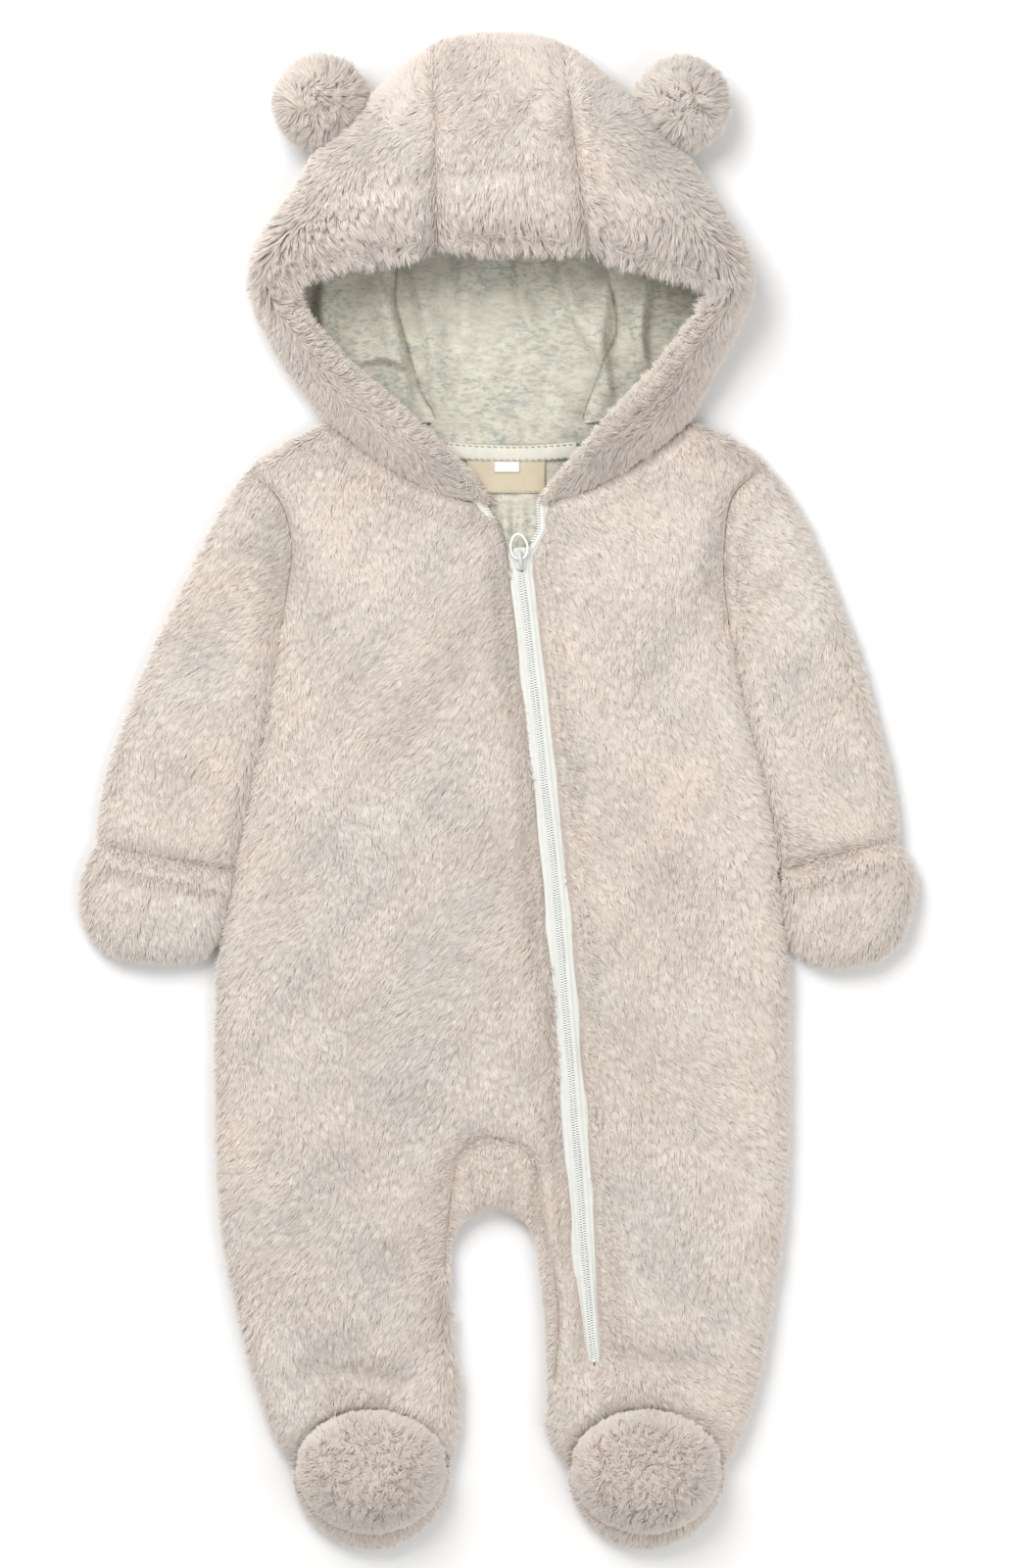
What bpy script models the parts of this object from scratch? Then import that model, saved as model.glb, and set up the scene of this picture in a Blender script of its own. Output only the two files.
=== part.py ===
"""A hooded plush snowsuit for a baby, laid flat on its back with its sleeves beside it.

Run it with: blender --background --python part.py

X runs across the suit, Y from the feet to the hood, Z up from the surface that it lies on.
Tables and sizes are in millimetres, and MM turns them into Blender's metres when a mesh is made.
The front and the back lie on each other as two thick layers. Each layer's surface comes from the
suit's own outline: how high a point lies depends on how far inside the outline it is, so a layer is
flat in its middle and rounds down to the side seam. The hood and the feet stand hollow.
"""

import math

import bmesh
import bpy
import numpy as np

MM = 0.001

# Cloth
LAYER = 15.6  # two layers of plush, lying on each other
MIDDLE = LAYER / 2  # the height of the side seams
WALL = 6.1  # plush with its pile and its lining
LINING_WALL = 1.0
SEAM_GAP = 0.4  # between two pieces that are sewn together
PARTING = 0.2  # half of that gap, between the front and the back
EDGE_REACH = 9.0  # how far in from the outline a layer's edge is rounded
WALL_SLANT = (0.31, 0.94, 0.12)  # the way along which a seam's strips take their diagonals
EDGE_STEPS = (2.2, 9.0)  # the rows of points that round it, from the outline
ON_OUTLINE = 0.05  # a point this near the outline lies on it

# Where the columns stand along a row, from 0 at its start to 1 at its end
WIDE_MARKS = (0, 0.15, 0.5, 0.85, 1)  # the front, across a whole leg
SIDE_MARKS = (0, 0.2, 0.38, 0.55, 0.7, 0.85, 1)  # the front, from the zip to the right side
INNER_MARKS = (0, 0.5, 1)  # the front, from its middle column to the zip
BACK_MARKS = (0, 0.5, 1)  # half the back, and the sole
SLEEVE_MARKS = (0, 0.25, 0.5, 0.75, 1)
MITT_MARKS = (0, 0.33, 0.67, 1)
CROWN_MARKS = (0, 0.2, 0.5, 0.8, 1)  # the hood's middle panel

# The trunk's rows from the neck to the legs. dip: how far a row's middle hangs below its ends
TRUNK = (
    # left x, y, right x, y, dip
    (-85, 187, 97, 188, 43),
    (-106, 176, 117, 178, 40.5),
    (-127, 163, 136, 166, 37),
    (-112, 149, 120, 151, 33),
    (-105, 124, 115, 126, 22),
    (-107, 104, 115, 105, 14),
    (-110, 86, 117.5, 86, 6),
    (-115, 50, 123, 50, 1),
    (-125, 0, 135.5, 0, 0),
    (-140, -85, 145, -85, 0),
    (-141, -177, 145, -177, 0),
)
SHOULDER_ROW, ARMPIT_ROW = 2, 6  # the armhole's seam runs between them
BACK_DIP = 10 / 43  # the back's neckline is this much shallower than the front's
DIVIDE_TOP, DIVIDE_FOOT = 0.29, 0.4895  # where the front's middle column crosses its rows
BACK_DIVIDE_TOP = 0.47

# The gusset's seam is an arch between the legs; the crotch is the cloth's own edge below it
GUSSET_ARCH = (-1, -199, 22)  # centre x, y and radius
CROTCH_ARCH = (-2, -235, 23)
CROTCH_ANGLES = (170, 150, 130, 110, 90, 70, 50, 30, 10)

# The legs' rows from the hip to the ankle. rise: how far a row's middle lies above its ends
LEGS = {
    "left": (
        # outer x, y, inner x, y, rise; the inner ends of the first three lie on the gusset's arch
        (-140.6, -190, None, None, 0),
        (-139.8, -204, None, None, 0),
        (-138.8, -218, None, None, 0),
        (-136.5, -236, -25.5, -222, 0),
        (-132, -256, -26.8, -241, 0),
        (-127.5, -278, -25, -266, 1),
        (-120.5, -303, -21.5, -303, 5),
        (-113, -325, -22.5, -325, 14),
        (-102, -346, -27, -346, 29),
    ),
    "right": (
        (144.8, -190, None, None, 0),
        (144, -204, None, None, 0),
        (143, -218, None, None, 0),
        (141, -236, 23.5, -222, 0),
        (138, -256, 28.5, -245, 0),
        (134, -278, 31, -268, 1),
        (129, -303, 29, -299, 5),
        (122, -325, 27, -325, 14),
        (113, -346, 38, -346, 29),
    ),
}
ARCH_ROWS, ARCH_TURN = 3, 30  # how many rows end on the gusset's arch, and the degrees between them
GUSSET_ROWS = (0, 0.65, 0.92, 1)  # from the gusset's seam to the cloth's edge
GUSSET_ENDS = {"left": 4, "right": 6}  # the leg row at which each end of the gusset runs out
INSEAMS = {
    "left": ((-25, -235), (-25, -241), (-25, -266), (-21.5, -303), (-22.5, -325), (-27, -346)),
    "right": ((21, -235), (22.4, -246), (25, -270), (26, -300), (27, -325), (38, -346)),
}

# Feet: the sole's toe is round, and the vamp is a dome over it
FOOT_X = {"left": -64.5, "right": 75.5}
FOOT_Y = -346
TOE_RADIUS = 38.0
TOE_ANGLES = (22, 44, 62, 74)  # below the widest place
VAMP_HALF_WIDTH = 35.5
VAMP_DOWN = 30.0  # towards the toe
VAMP_CREST = 33.0
VAMP_ROWS = (1, 0.93, 0.75, 0.42, 0)  # from its seam to its middle
VAMP_POWER = 2.4  # how square the dome is in section
VAMP_WALL, VAMP_INSET = 5.0, 0.15  # the wall on top, and its share of the way in at the seam
TOE_GAP = 1.1  # between the vamp's seam and the sole's turned-up rim
RIM_ROWS = (0, 0.12, 0.45, 1)  # the turned-up rim, from the sole's edge to the vamp's seam
HEEL_ROW = 6  # the leg row where the back ends and the sole begins
HEEL_DROP = 8.0  # how far the heel's seam hangs in its middle

# Sleeves and the turn-over mitts at their ends: rows from the shoulder to the hand
SLEEVES = {
    "left": (
        # outer x, y, inner x, y
        (-144, 133, -113.6, 70),
        (-158.5, 103, -116.5, 52),
        (-173, 73, -120.4, 32),
        (-185, 43, -124.8, 11),
        (-196, 13, -129.4, -11),
        (-201, -10, -132.8, -29),
        (-204, -27, -135.2, -41),
    ),
    "right": (
        (154.5, 135, 121.8, 70),
        (167.5, 105, 124.6, 52),
        (179.5, 74, 129.4, 32),
        (188.5, 44, 134.8, 11),
        (196.5, 13, 139.4, -11),
        (200.5, -8, 142.4, -29),
        (202.5, -24, 144.2, -41),
    ),
}
MITTS = {
    "left": (
        (-208.5, -38, -137.5, -52),
        (-211, -52, -140.5, -64),
        (-209.5, -66, -143.5, -74),
        (-203, -77, -150, -81.5),
        (-194, -83, -160, -85),
    ),
    "right": (
        (206.5, -34, 146, -52),
        (211, -48, 147, -66),
        (208.5, -63, 149.5, -76),
        (204, -75, 155.5, -83.5),
        (194, -84.5, 166, -87.5),
    ),
}

HAND_BOW = 1.2  # how far the mitt's end is bowed
HAND_CLOSE = 0.25  # where the row that rounds this end stands between the last two

# The zip, from the open neck down. half gap: from its line to the front's edge on either side
ZIP = (
    # y, x, half gap
    (152, 8.5, 16.5),
    (146, 8.5, 14.5),
    (133, 12.5, 11.0),
    (120, 11.0, 5.6),
    (103, 12.6, 6.2),
    (53, 18.3, 6.2),
    (3, 23.8, 6.2),
    (-47, 29.3, 6.2),
    (-97, 33.3, 6.2),
    (-147, 37.3, 6.2),
    (-197, 41.3, 6.0),
    (-247, 44.8, 5.6),
    (-292, 49.0, 4.6),
    (-300, 50.0, PARTING),
    (-346, 57.0, PARTING),
)
ZIP_TOP, ZIP_FOOT = 149, -293
TAPE_ROWS = (ZIP_TOP, 140, 130, 120, 112, 80, 40, 0, -50, -100, -150, -200, -250, ZIP_FOOT)
TAPE_WIDTH, TAPE_WALL, TAPE_Z = 12.0, 0.9, 8.2
TAPE_SHOWS = {"left": 1.0, "right": 3.0}  # how much of it stands out from the open neck's edge
CHAIN_TOP, CHAIN_FOOT = 110.5, -284
CHAIN_WIDTH, CHAIN_Z, CHAIN_HEIGHT, CHAIN_EDGE = 6.4, 9.4, 3.0, 0.1
CHAIN_SECTION = ((-1, 0), (-0.8, 0.7), (-0.35, 1), (0.35, 1), (0.8, 0.7), (1, 0))
CHAIN_ROWS = 7

# The hood's rows run up each side, from the neck's seam to the middle panel's seam
HOOD = {
    "left": (
        # rim x, y, z, edge x, y, fold's height, y where the row meets the seam underneath
        (-19, 163, 21, -90, 194, 10.5, 190),
        (-34, 178, 26, -98, 204, 12.5, 203),
        (-54, 196, 31, -107, 215, 14.5, 218),
        (-73, 212, 34.5, -115, 228, 16, 234),
        (-90, 229, 37.5, -121, 242, 17.5, 252),
        (-104, 246, 39.5, -124, 256, 18, 268),
        (-108, 257, 41, -122, 270, 18.5, 284),
        (-100, 264.5, 43, -115, 286, 18.5, 300),
        (-84, 270, 46, -102, 307, 18, 316),
        (-66, 273.5, 48, -86, 331, 17, 333),
        (-48, 276.5, 50, -62, 354, 16.5, 350),
        (-31, 278.5, 51, -33, 381, 16, 364),
    ),
    "right": (
        (33, 160, 21, 100, 195, 10.5, 190),
        (46, 175, 26, 105, 205, 12.5, 203),
        (62, 193, 31, 111, 216, 14.5, 218),
        (80, 212, 34.5, 118, 229, 16, 234),
        (94, 229, 37.5, 124, 243, 17.5, 252),
        (106, 244, 39.5, 127, 257, 18, 268),
        (111, 255, 41, 125, 270, 18.5, 284),
        (103, 262, 43, 118, 286, 18.5, 300),
        (90, 267, 46, 106, 307, 18, 316),
        (75, 271, 48, 89, 331, 17, 333),
        (60, 274.5, 50, 65, 354, 16.5, 350),
        (45, 277, 51, 33, 381, 16, 364),
    ),
}
HOOD_SEAM_X = {"left": -31, "right": 33}  # underneath
NECK_FOLD = (0.02, 0.07, 0.16, 1)  # the neck row's points underneath, from the outline to the seam
HOOD_ROUND = 2.0  # how far in a row is rounded from its fold, over the height that it climbs
HOOD_PUFF, HOOD_PUFF_SHARE = 6.0, 0.08  # how far a row swells above its rim, and over its width
HOOD_WALL = 6.0
FOLD_REACH = 1.2  # how far in the fold reaches underneath, over its height
FOLD_LIMIT = 0.85  # and at most this share of the way to the seam
FOLD_STEPS = (0.11, 0.42, 1.0)
CROWN_BULGE = 3.0  # how far the middle panel's rim and edge bulge upwards
FOLD_BULGE = (0.9, 0.5)  # the share of it in the first points under the fold
NECK_GAP = 0.9
LINING_GAP = 0.3
LINING_FROM = 1  # how many points of a row stand between the rim and the lining's edge

# Ears: stuffed balls, cut flat where they are sewn to the hood's edge
EARS = {
    # centre x, y, and the angle of the hood's edge there
    "left": (-90, 349.5, 43.8),
    "right": (93.1, 349.1, -43.8),
}
EAR_RADIUS, EAR_HALF_HEIGHT, EAR_Z = 21.0, 13.0, 18.0
EAR_CUT = 15.6  # from the centre to the cut

# Inside the neck
YOKE = (-38, 100, 52, 175)  # the lining that shows in the open neck: lowest and highest x and y
YOKE_Z, YOKE_WALL = 6.5, 1.1
BAND = (-26, 40, 168, 176.5)  # lowest and highest x, then y
BAND_Z, BAND_WALL = 8.9, 1.0
LABEL = (-13, 27, 151.5, 170)
LABEL_Z, LABEL_WALL = 7.9, 0.6
TAB = (-2, 11, 162, 167.5)
TAB_Z, TAB_WALL = 8.8, 0.5

# The slider and its ring, which turns on a bar that crosses the slider
SLIDER_Y = 118.0
LEAN_Y = 80.0  # the slider points along the zip from here
SLIDER = (9.2, 12.0, 3.4)  # width, length, height
SLIDER_NECK = 0.72  # its width at the closed teeth, over its width at the open end
SLIDER_Z, SLIDER_BEVEL = 9.5, 0.9
BRIDGE_SINK = 0.6  # how far the bridge's feet stand in the slider
BRIDGE_HALF, BRIDGE_RISE, BRIDGE_RADIUS = 4.0, 3.6, 0.9
RING_HALF_WIDTH, RING_LENGTH, RING_RADIUS = 4.3, 14.0, 0.65
RING_TAPER = 0.12  # how much narrower it is at its far end
RING_Z, RING_NEAR = 14.1, -0.2  # its height, and its near end from the axis over the wire's radius

MATERIALS = {
    # colour, roughness
    "plush": ((0.66, 0.58, 0.53), 0.95),
    "lining": ((0.74, 0.73, 0.64), 0.9),
    "zip_tape": ((0.86, 0.88, 0.84), 0.8),
    "zip_plastic": ((0.88, 0.88, 0.85), 0.35),
    "label": ((0.72, 0.62, 0.47), 0.8),
    "sole": ((0.64, 0.56, 0.51), 0.95),
}


def material(name):
    """The part's own material of this name, made once."""
    if name in bpy.data.materials:
        return bpy.data.materials[name]
    made = bpy.data.materials.new(name)
    made.use_nodes = True
    colour, roughness = MATERIALS[name]
    shader = made.node_tree.nodes["Principled BSDF"]
    shader.inputs["Base Color"].default_value = (*colour, 1.0)
    shader.inputs["Roughness"].default_value = roughness
    return made


def add_object(name, mesh, finish):
    """Link a new object that holds this mesh."""
    mesh.materials.append(material(finish))
    made = bpy.data.objects.new(name, mesh)
    SUIT.objects.link(made)
    return made


def shell(name, patches, finish="plush"):
    """One closed wall from patches, each an outer grid, an inner grid and whether it is turned over.

    Patches that share outer points are welded, and a face that two of them share is left out.
    Each edge that only one face has is an edge of the cloth, and a strip from the outer to the
    inner grid closes it. Pieces on both sides of a seam split that strip the same way.
    """
    outer = np.concatenate([np.reshape(o, (-1, 3)) for o, _, _ in patches])
    inner = np.concatenate([np.reshape(i, (-1, 3)) for _, i, _ in patches])
    _, first, index = np.unique(
        np.round(outer, 3) + 0.0, axis=0, return_index=True, return_inverse=True
    )
    index = index.reshape(-1)
    faces = []
    start = 0
    for grid, _, turned in patches:
        rows, columns = grid.shape[:2]
        ids = index[start : start + rows * columns].reshape(rows, columns)
        start += rows * columns
        for r in range(rows - 1):
            for c in range(columns - 1):
                a, b, d, e = ids[r, c], ids[r, c + 1], ids[r + 1, c + 1], ids[r + 1, c]
                for face in ((a, b, d), (a, d, e)):
                    if len(set(face)) == 3:
                        faces.append(face[::-1] if turned else face)
    seen = {}
    for face in faces:
        seen[frozenset(face)] = seen.get(frozenset(face), 0) + 1
    faces = [face for face in faces if seen[frozenset(face)] == 1]
    count = len(first)
    edges = {(f[k], f[k - 2]) for f in faces for k in range(3)}
    height = outer[first] @ WALL_SLANT
    walls = []
    for a, b in sorted(edges):
        if (b, a) not in edges:
            if height[a] > height[b]:
                walls += [(b, a, b + count), (a, a + count, b + count)]
            else:
                walls += [(b, a, a + count), (b, a + count, b + count)]
    under = [tuple(i + count for i in f[::-1]) for f in faces]
    points = np.concatenate([outer[first], inner[first]]) * MM
    mesh = bpy.data.meshes.new(name)
    mesh.from_pydata(points.tolist(), [], faces + under + walls)
    face_outwards(mesh)
    return add_object(name, mesh, finish)


def face_outwards(mesh):
    """Turn a closed mesh's faces outwards."""
    work = bmesh.new()
    work.from_mesh(mesh)
    bmesh.ops.recalc_face_normals(work, faces=work.faces)
    work.to_mesh(mesh)
    work.free()


def unit(vectors):
    """Each vector at a length of one."""
    return vectors / np.maximum(np.linalg.norm(vectors, axis=-1, keepdims=True), 1e-9)


def on_arch(arch, degrees):
    """A point on an arch, by its angle from +X."""
    x, y, radius = arch
    turn = math.radians(degrees)
    return (x + radius * math.cos(turn), y + radius * math.sin(turn))


def toe(side, degrees):
    """A point on the toe's edge, by its angle from the suit's outer side, below the widest place."""
    outward = -1 if side == "left" else 1
    turn = math.radians(degrees)
    return (
        FOOT_X[side] + outward * TOE_RADIUS * math.cos(turn),
        FOOT_Y - TOE_RADIUS * math.sin(turn),
    )


def make_outline():
    """The suit's outline from its left neck round both sleeves and both legs to its right neck."""

    def flank(side):
        x, y = (0, 1) if side == "left" else (2, 3)
        trunk = [(row[x], row[y]) for row in TRUNK]
        arm = [(row[0], row[1]) for row in SLEEVES[side] + MITTS[side]]
        palm = [(row[2], row[3]) for row in SLEEVES[side] + MITTS[side]]
        last = MITTS[side][-1]
        hand = bowed_row(last[:2], last[2:], -HAND_BOW, 1.0, MITT_MARKS[1:-1])
        leg = [(row[0], row[1]) for row in LEGS[side]]
        foot = [toe(side, angle) for angle in (*TOE_ANGLES, 90, *(180 - a for a in TOE_ANGLES[::-1]))]
        return (
            trunk[: SHOULDER_ROW + 1] + arm + [tuple(p) for p in hand] + palm[::-1]
            + trunk[ARMPIT_ROW:] + leg + foot + list(INSEAMS[side][::-1])
        )

    crotch = [on_arch(CROTCH_ARCH, angle) for angle in range(170, 0, -10)]
    return np.array(flank("left") + crotch + flank("right")[::-1], float)


def bowed_row(start, end, bow, power, marks):
    """Points at the marks of a row from start to end, whose middle is moved up by bow.

    A power of 1 gives a parabola, and 0.5 half an ellipse.
    """
    s = np.asarray(marks, float)[:, None]
    row = np.array(start) * (1 - s) + np.array(end) * s
    row[:, 1] += (bow * np.maximum(4 * s * (1 - s), 0) ** power)[:, 0]
    return row


def with_edge_steps(line, at_start=True, at_end=True):
    """A line of points with more of them near an end, where the layer's edge is rounded."""
    line = np.asarray(line, float)

    def steps(a, b):
        length = np.linalg.norm(b - a)
        return [a + (b - a) * min(step / length, share) for step, share in zip(EDGE_STEPS, (0.25, 0.8))]

    first = steps(line[0], line[1]) if at_start else []
    last = steps(line[-1], line[-2])[::-1] if at_end else []
    return np.array([line[0], *first, *line[1:-1], *last, line[-1]])


def lay(plan, upper, seam):
    """The outer and inner faces of a layer over these plan points.

    A point's height runs on a quarter circle from the seam's height at the outline to the layer's
    face at EDGE_REACH inside it. The inner face lies one WALL along the outer face's own normal.
    """
    plan = np.asarray(plan, float)
    flat = plan.reshape(-1, 2)
    a, b = OUTLINE[:-1], OUTLINE[1:]
    along = ((flat[:, None] - a) * (b - a)).sum(-1) / ((b - a) ** 2).sum(-1)
    along = np.clip(along, 0, 1)[..., None]
    nearest = a + (b - a) * along
    gap = np.linalg.norm(flat[:, None] - nearest, axis=-1)
    pick = np.argmin(gap, axis=1)
    each = np.arange(len(flat))
    gap = gap[each, pick]
    share = along[each, pick]
    facing = unit(OUTLINE_NORMALS[pick] * (1 - share) + OUTLINE_NORMALS[pick + 1] * share)
    away = np.where((gap < ON_OUTLINE)[:, None], facing, unit(nearest[each, pick] - flat))
    depth = np.where(gap < ON_OUTLINE, 0, np.minimum(gap, EDGE_REACH))
    rest = 1 - depth / EDGE_REACH
    steep = np.sqrt(1 - rest**2)
    sign = 1 if upper else -1
    face = LAYER if upper else 0.0
    height = seam + (face - seam) * steep
    outer = np.column_stack([flat, height])
    inner = np.column_stack([flat - away * (WALL * rest)[:, None], height - sign * WALL * steep])
    return outer.reshape(*plan.shape[:-1], 3), inner.reshape(*plan.shape[:-1], 3)


def upper_patch(plan, seam):
    """A layer that faces up."""
    return (*lay(plan, True, seam), True)


def under_patch(plan, seam):
    """A layer that faces down."""
    return (*lay(plan, False, seam), False)


def part_first_row(patch, gap=SEAM_GAP):
    """Draw a patch's first row back from the seam that it shares, its outer and inner points alike."""
    outer, inner, turned = patch
    step = unit(outer[1, :, :2] - outer[0, :, :2]) * gap
    outer[0, :, :2] += step
    inner[0, :, :2] += step
    return outer, inner, turned


def zip_edge(y, hand):
    """The x of the zip's line at y, moved to the front's left edge (-1) or right edge (1)."""
    table = np.array(ZIP[::-1])
    return np.interp(y, table[:, 0], table[:, 1] + hand * table[:, 2])


def crossing(row, hand):
    """Where a row crosses the front's edge at the zip, from 0 at its start to 1 at its end."""
    s = np.linspace(0, 1, 801)
    points = row(s)
    past = points[:, 0] - zip_edge(points[:, 1], hand)
    k = np.flatnonzero(past[:-1] * past[1:] <= 0)[0]
    return s[k] + (s[k + 1] - s[k]) * past[k] / (past[k] - past[k + 1])


def trunk_rows():
    """The trunk's rows, with more of them near both ends of the armhole."""
    rows = np.array(TRUNK, float)
    armhole = rows[SHOULDER_ROW : ARMPIT_ROW + 1]

    def nearer(a, b):
        length = np.linalg.norm(b[:2] - a[:2])
        return [a + (b - a) * step / length for step in EDGE_STEPS]

    return np.array([
        *rows[:SHOULDER_ROW], armhole[0], *nearer(armhole[0], armhole[1]), *armhole[1:-1],
        *nearer(armhole[-1], armhole[-2])[::-1], *rows[ARMPIT_ROW:],
    ])


def trunk_row(row, dip_share=1.0):
    """One row of the trunk as a function of s, from the left side at 0 to the right side at 1."""
    return lambda s: bowed_row(row[:2], row[2:4], -row[4] * dip_share, 1.0, s)


def leg_ends(side, k):
    """The outer and the inner end of a leg's row."""
    outer_x, outer_y, inner_x, inner_y, _ = LEGS[side][k]
    if k < ARCH_ROWS:
        turn = ARCH_TURN * (k + 1)
        inner_x, inner_y = on_arch(GUSSET_ARCH, 90 + turn if side == "left" else 90 - turn)
    return (outer_x, outer_y), (inner_x, inner_y)


def leg_row(side, k, rise=None):
    """One row of a leg as a function of s, from its outer end at 0 to its inner end at 1."""
    outer, inner = leg_ends(side, k)
    bow = LEGS[side][k][4] if rise is None else rise
    return lambda s: bowed_row(outer, inner, bow, 0.5 if rise is None else 1.0, s)


def between(low, high, marks):
    """Marks from 0 to 1 as places between low and high."""
    return low + (high - low) * np.asarray(marks, float)


def make_fronts():
    """The two fronts. The left one also takes in the inner side of the right leg, beside the zip."""
    outer_part, inner_part, right_part = [], [], []
    rows = trunk_rows()
    for k, row in enumerate(rows):
        curve = trunk_row(row)
        divide = DIVIDE_TOP + (DIVIDE_FOOT - DIVIDE_TOP) * k / (len(rows) - 1)
        left_edge, right_edge = crossing(curve, -1), crossing(curve, 1)
        outer_part.append(with_edge_steps(curve(between(0, divide, WIDE_MARKS))))
        inner_part.append(with_edge_steps(curve(between(divide, left_edge, INNER_MARKS)), at_end=False))
        right_part.append(with_edge_steps(curve(between(right_edge, 1, SIDE_MARKS)), at_start=False))
    for k in range(len(LEGS["left"])):
        outer_part.append(with_edge_steps(leg_row("left", k)(np.array(WIDE_MARKS))))
        curve = leg_row("right", k)
        left_edge, right_edge = crossing(curve, -1), crossing(curve, 1)
        inner_part.append(with_edge_steps(curve(between(1, left_edge, INNER_MARKS)), at_end=False))
        right_part.append(with_edge_steps(curve(between(right_edge, 0, SIDE_MARKS)), at_start=False))
    seam = MIDDLE + PARTING
    shell("front_left", [upper_patch(outer_part, seam), upper_patch(inner_part, seam)])
    shell("front_right", [upper_patch(right_part, seam)])
    return outer_part[0], inner_part[0], right_part[0]


def make_back():
    """The back, in one piece down to the heels, lying on the surface."""
    left_part, right_part = [], []
    rows = trunk_rows()
    for k, row in enumerate(rows):
        curve = trunk_row(row, BACK_DIP)
        divide = BACK_DIVIDE_TOP + (DIVIDE_FOOT - BACK_DIVIDE_TOP) * k / (len(rows) - 1)
        left_part.append(with_edge_steps(curve(between(0, divide, BACK_MARKS))))
        right_part.append(with_edge_steps(curve(between(1, divide, BACK_MARKS))))
    for k in range(HEEL_ROW + 1):
        rise = -HEEL_DROP if k == HEEL_ROW else None
        left_part.append(with_edge_steps(leg_row("left", k, rise)(np.array(BACK_MARKS))))
        right_part.append(with_edge_steps(leg_row("right", k, rise)(np.array(BACK_MARKS))))
    seam = MIDDLE - PARTING
    left, right = under_patch(left_part, seam), under_patch(right_part, seam)
    shell("back", [left, (right[0], right[1], True)])


def make_gusset():
    """The crotch gusset: from its seam on the front, over the cloth's edge, to the same seam behind."""
    seam_left = [leg_ends("left", k)[1] for k in range(GUSSET_ENDS["left"], -1, -1)]
    seam_right = [leg_ends("right", k)[1] for k in range(GUSSET_ENDS["right"] + 1)]
    seam = np.array(seam_left + [on_arch(GUSSET_ARCH, 90)] + seam_right)
    fold = np.array(
        [INSEAMS["left"][1]]
        + [on_arch(CROTCH_ARCH, angle) for angle in CROTCH_ANGLES]
        + [INSEAMS["right"][k] for k in (1, 2, 3)]
    )
    rows = [seam + (fold - seam) * share for share in GUSSET_ROWS]
    layers = (upper_patch(rows, MIDDLE), under_patch(rows, MIDDLE))
    shell("gusset", [part_first_row(layer) for layer in layers])


def make_sleeve(side):
    """A sleeve: a flattened tube, open at the armhole and at the cuff."""
    x, y = (0, 1) if side == "left" else (2, 3)
    armhole = [(row[x], row[y]) for row in TRUNK[SHOULDER_ROW : ARMPIT_ROW + 1]]
    rows = [bowed_row(row[:2], row[2:], 0, 1.0, SLEEVE_MARKS) for row in SLEEVES[side]]
    rows = [armhole, *rows]
    rows = np.array([with_edge_steps(row) for row in rows])
    layers = (upper_patch(rows, MIDDLE), under_patch(rows, MIDDLE))
    shell(f"sleeve_{side}", [part_first_row(layer) for layer in layers])
    return rows[-1]


def make_mitt(side, cuff):
    """The turn-over mitt that closes a sleeve: a pouch, open where it meets the cuff."""
    bows = [0] * (len(MITTS[side]) - 1) + [-HAND_BOW]
    rows = [
        bowed_row(row[:2], row[2:], bow, 1.0, MITT_MARKS) for row, bow in zip(MITTS[side], bows)
    ]
    start = bowed_row(cuff[0], cuff[-1], 0, 1.0, MITT_MARKS)
    rows = np.array([with_edge_steps(row) for row in [start, *rows]])
    close = rows[-1] + (rows[-2] - rows[-1]) * HAND_CLOSE
    rows = np.concatenate([rows[:-1], [close], rows[-1:]])
    layers = (upper_patch(rows, MIDDLE), under_patch(rows, MIDDLE))
    shell(f"mitt_{side}", [part_first_row(layer) for layer in layers])


def ankle_line(side):
    """The ankle's seam, from the leg's outer side to its inner side, through the front's own points."""
    curve = leg_row(side, len(LEGS[side]) - 1)
    if side == "left":
        return curve(np.array(WIDE_MARKS))
    left_edge, right_edge = crossing(curve, -1), crossing(curve, 1)
    outer = curve(between(right_edge, 0, SIDE_MARKS))[::-1]
    return np.concatenate([outer, curve(between(1, left_edge, INNER_MARKS))[::-1][1:]])


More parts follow.
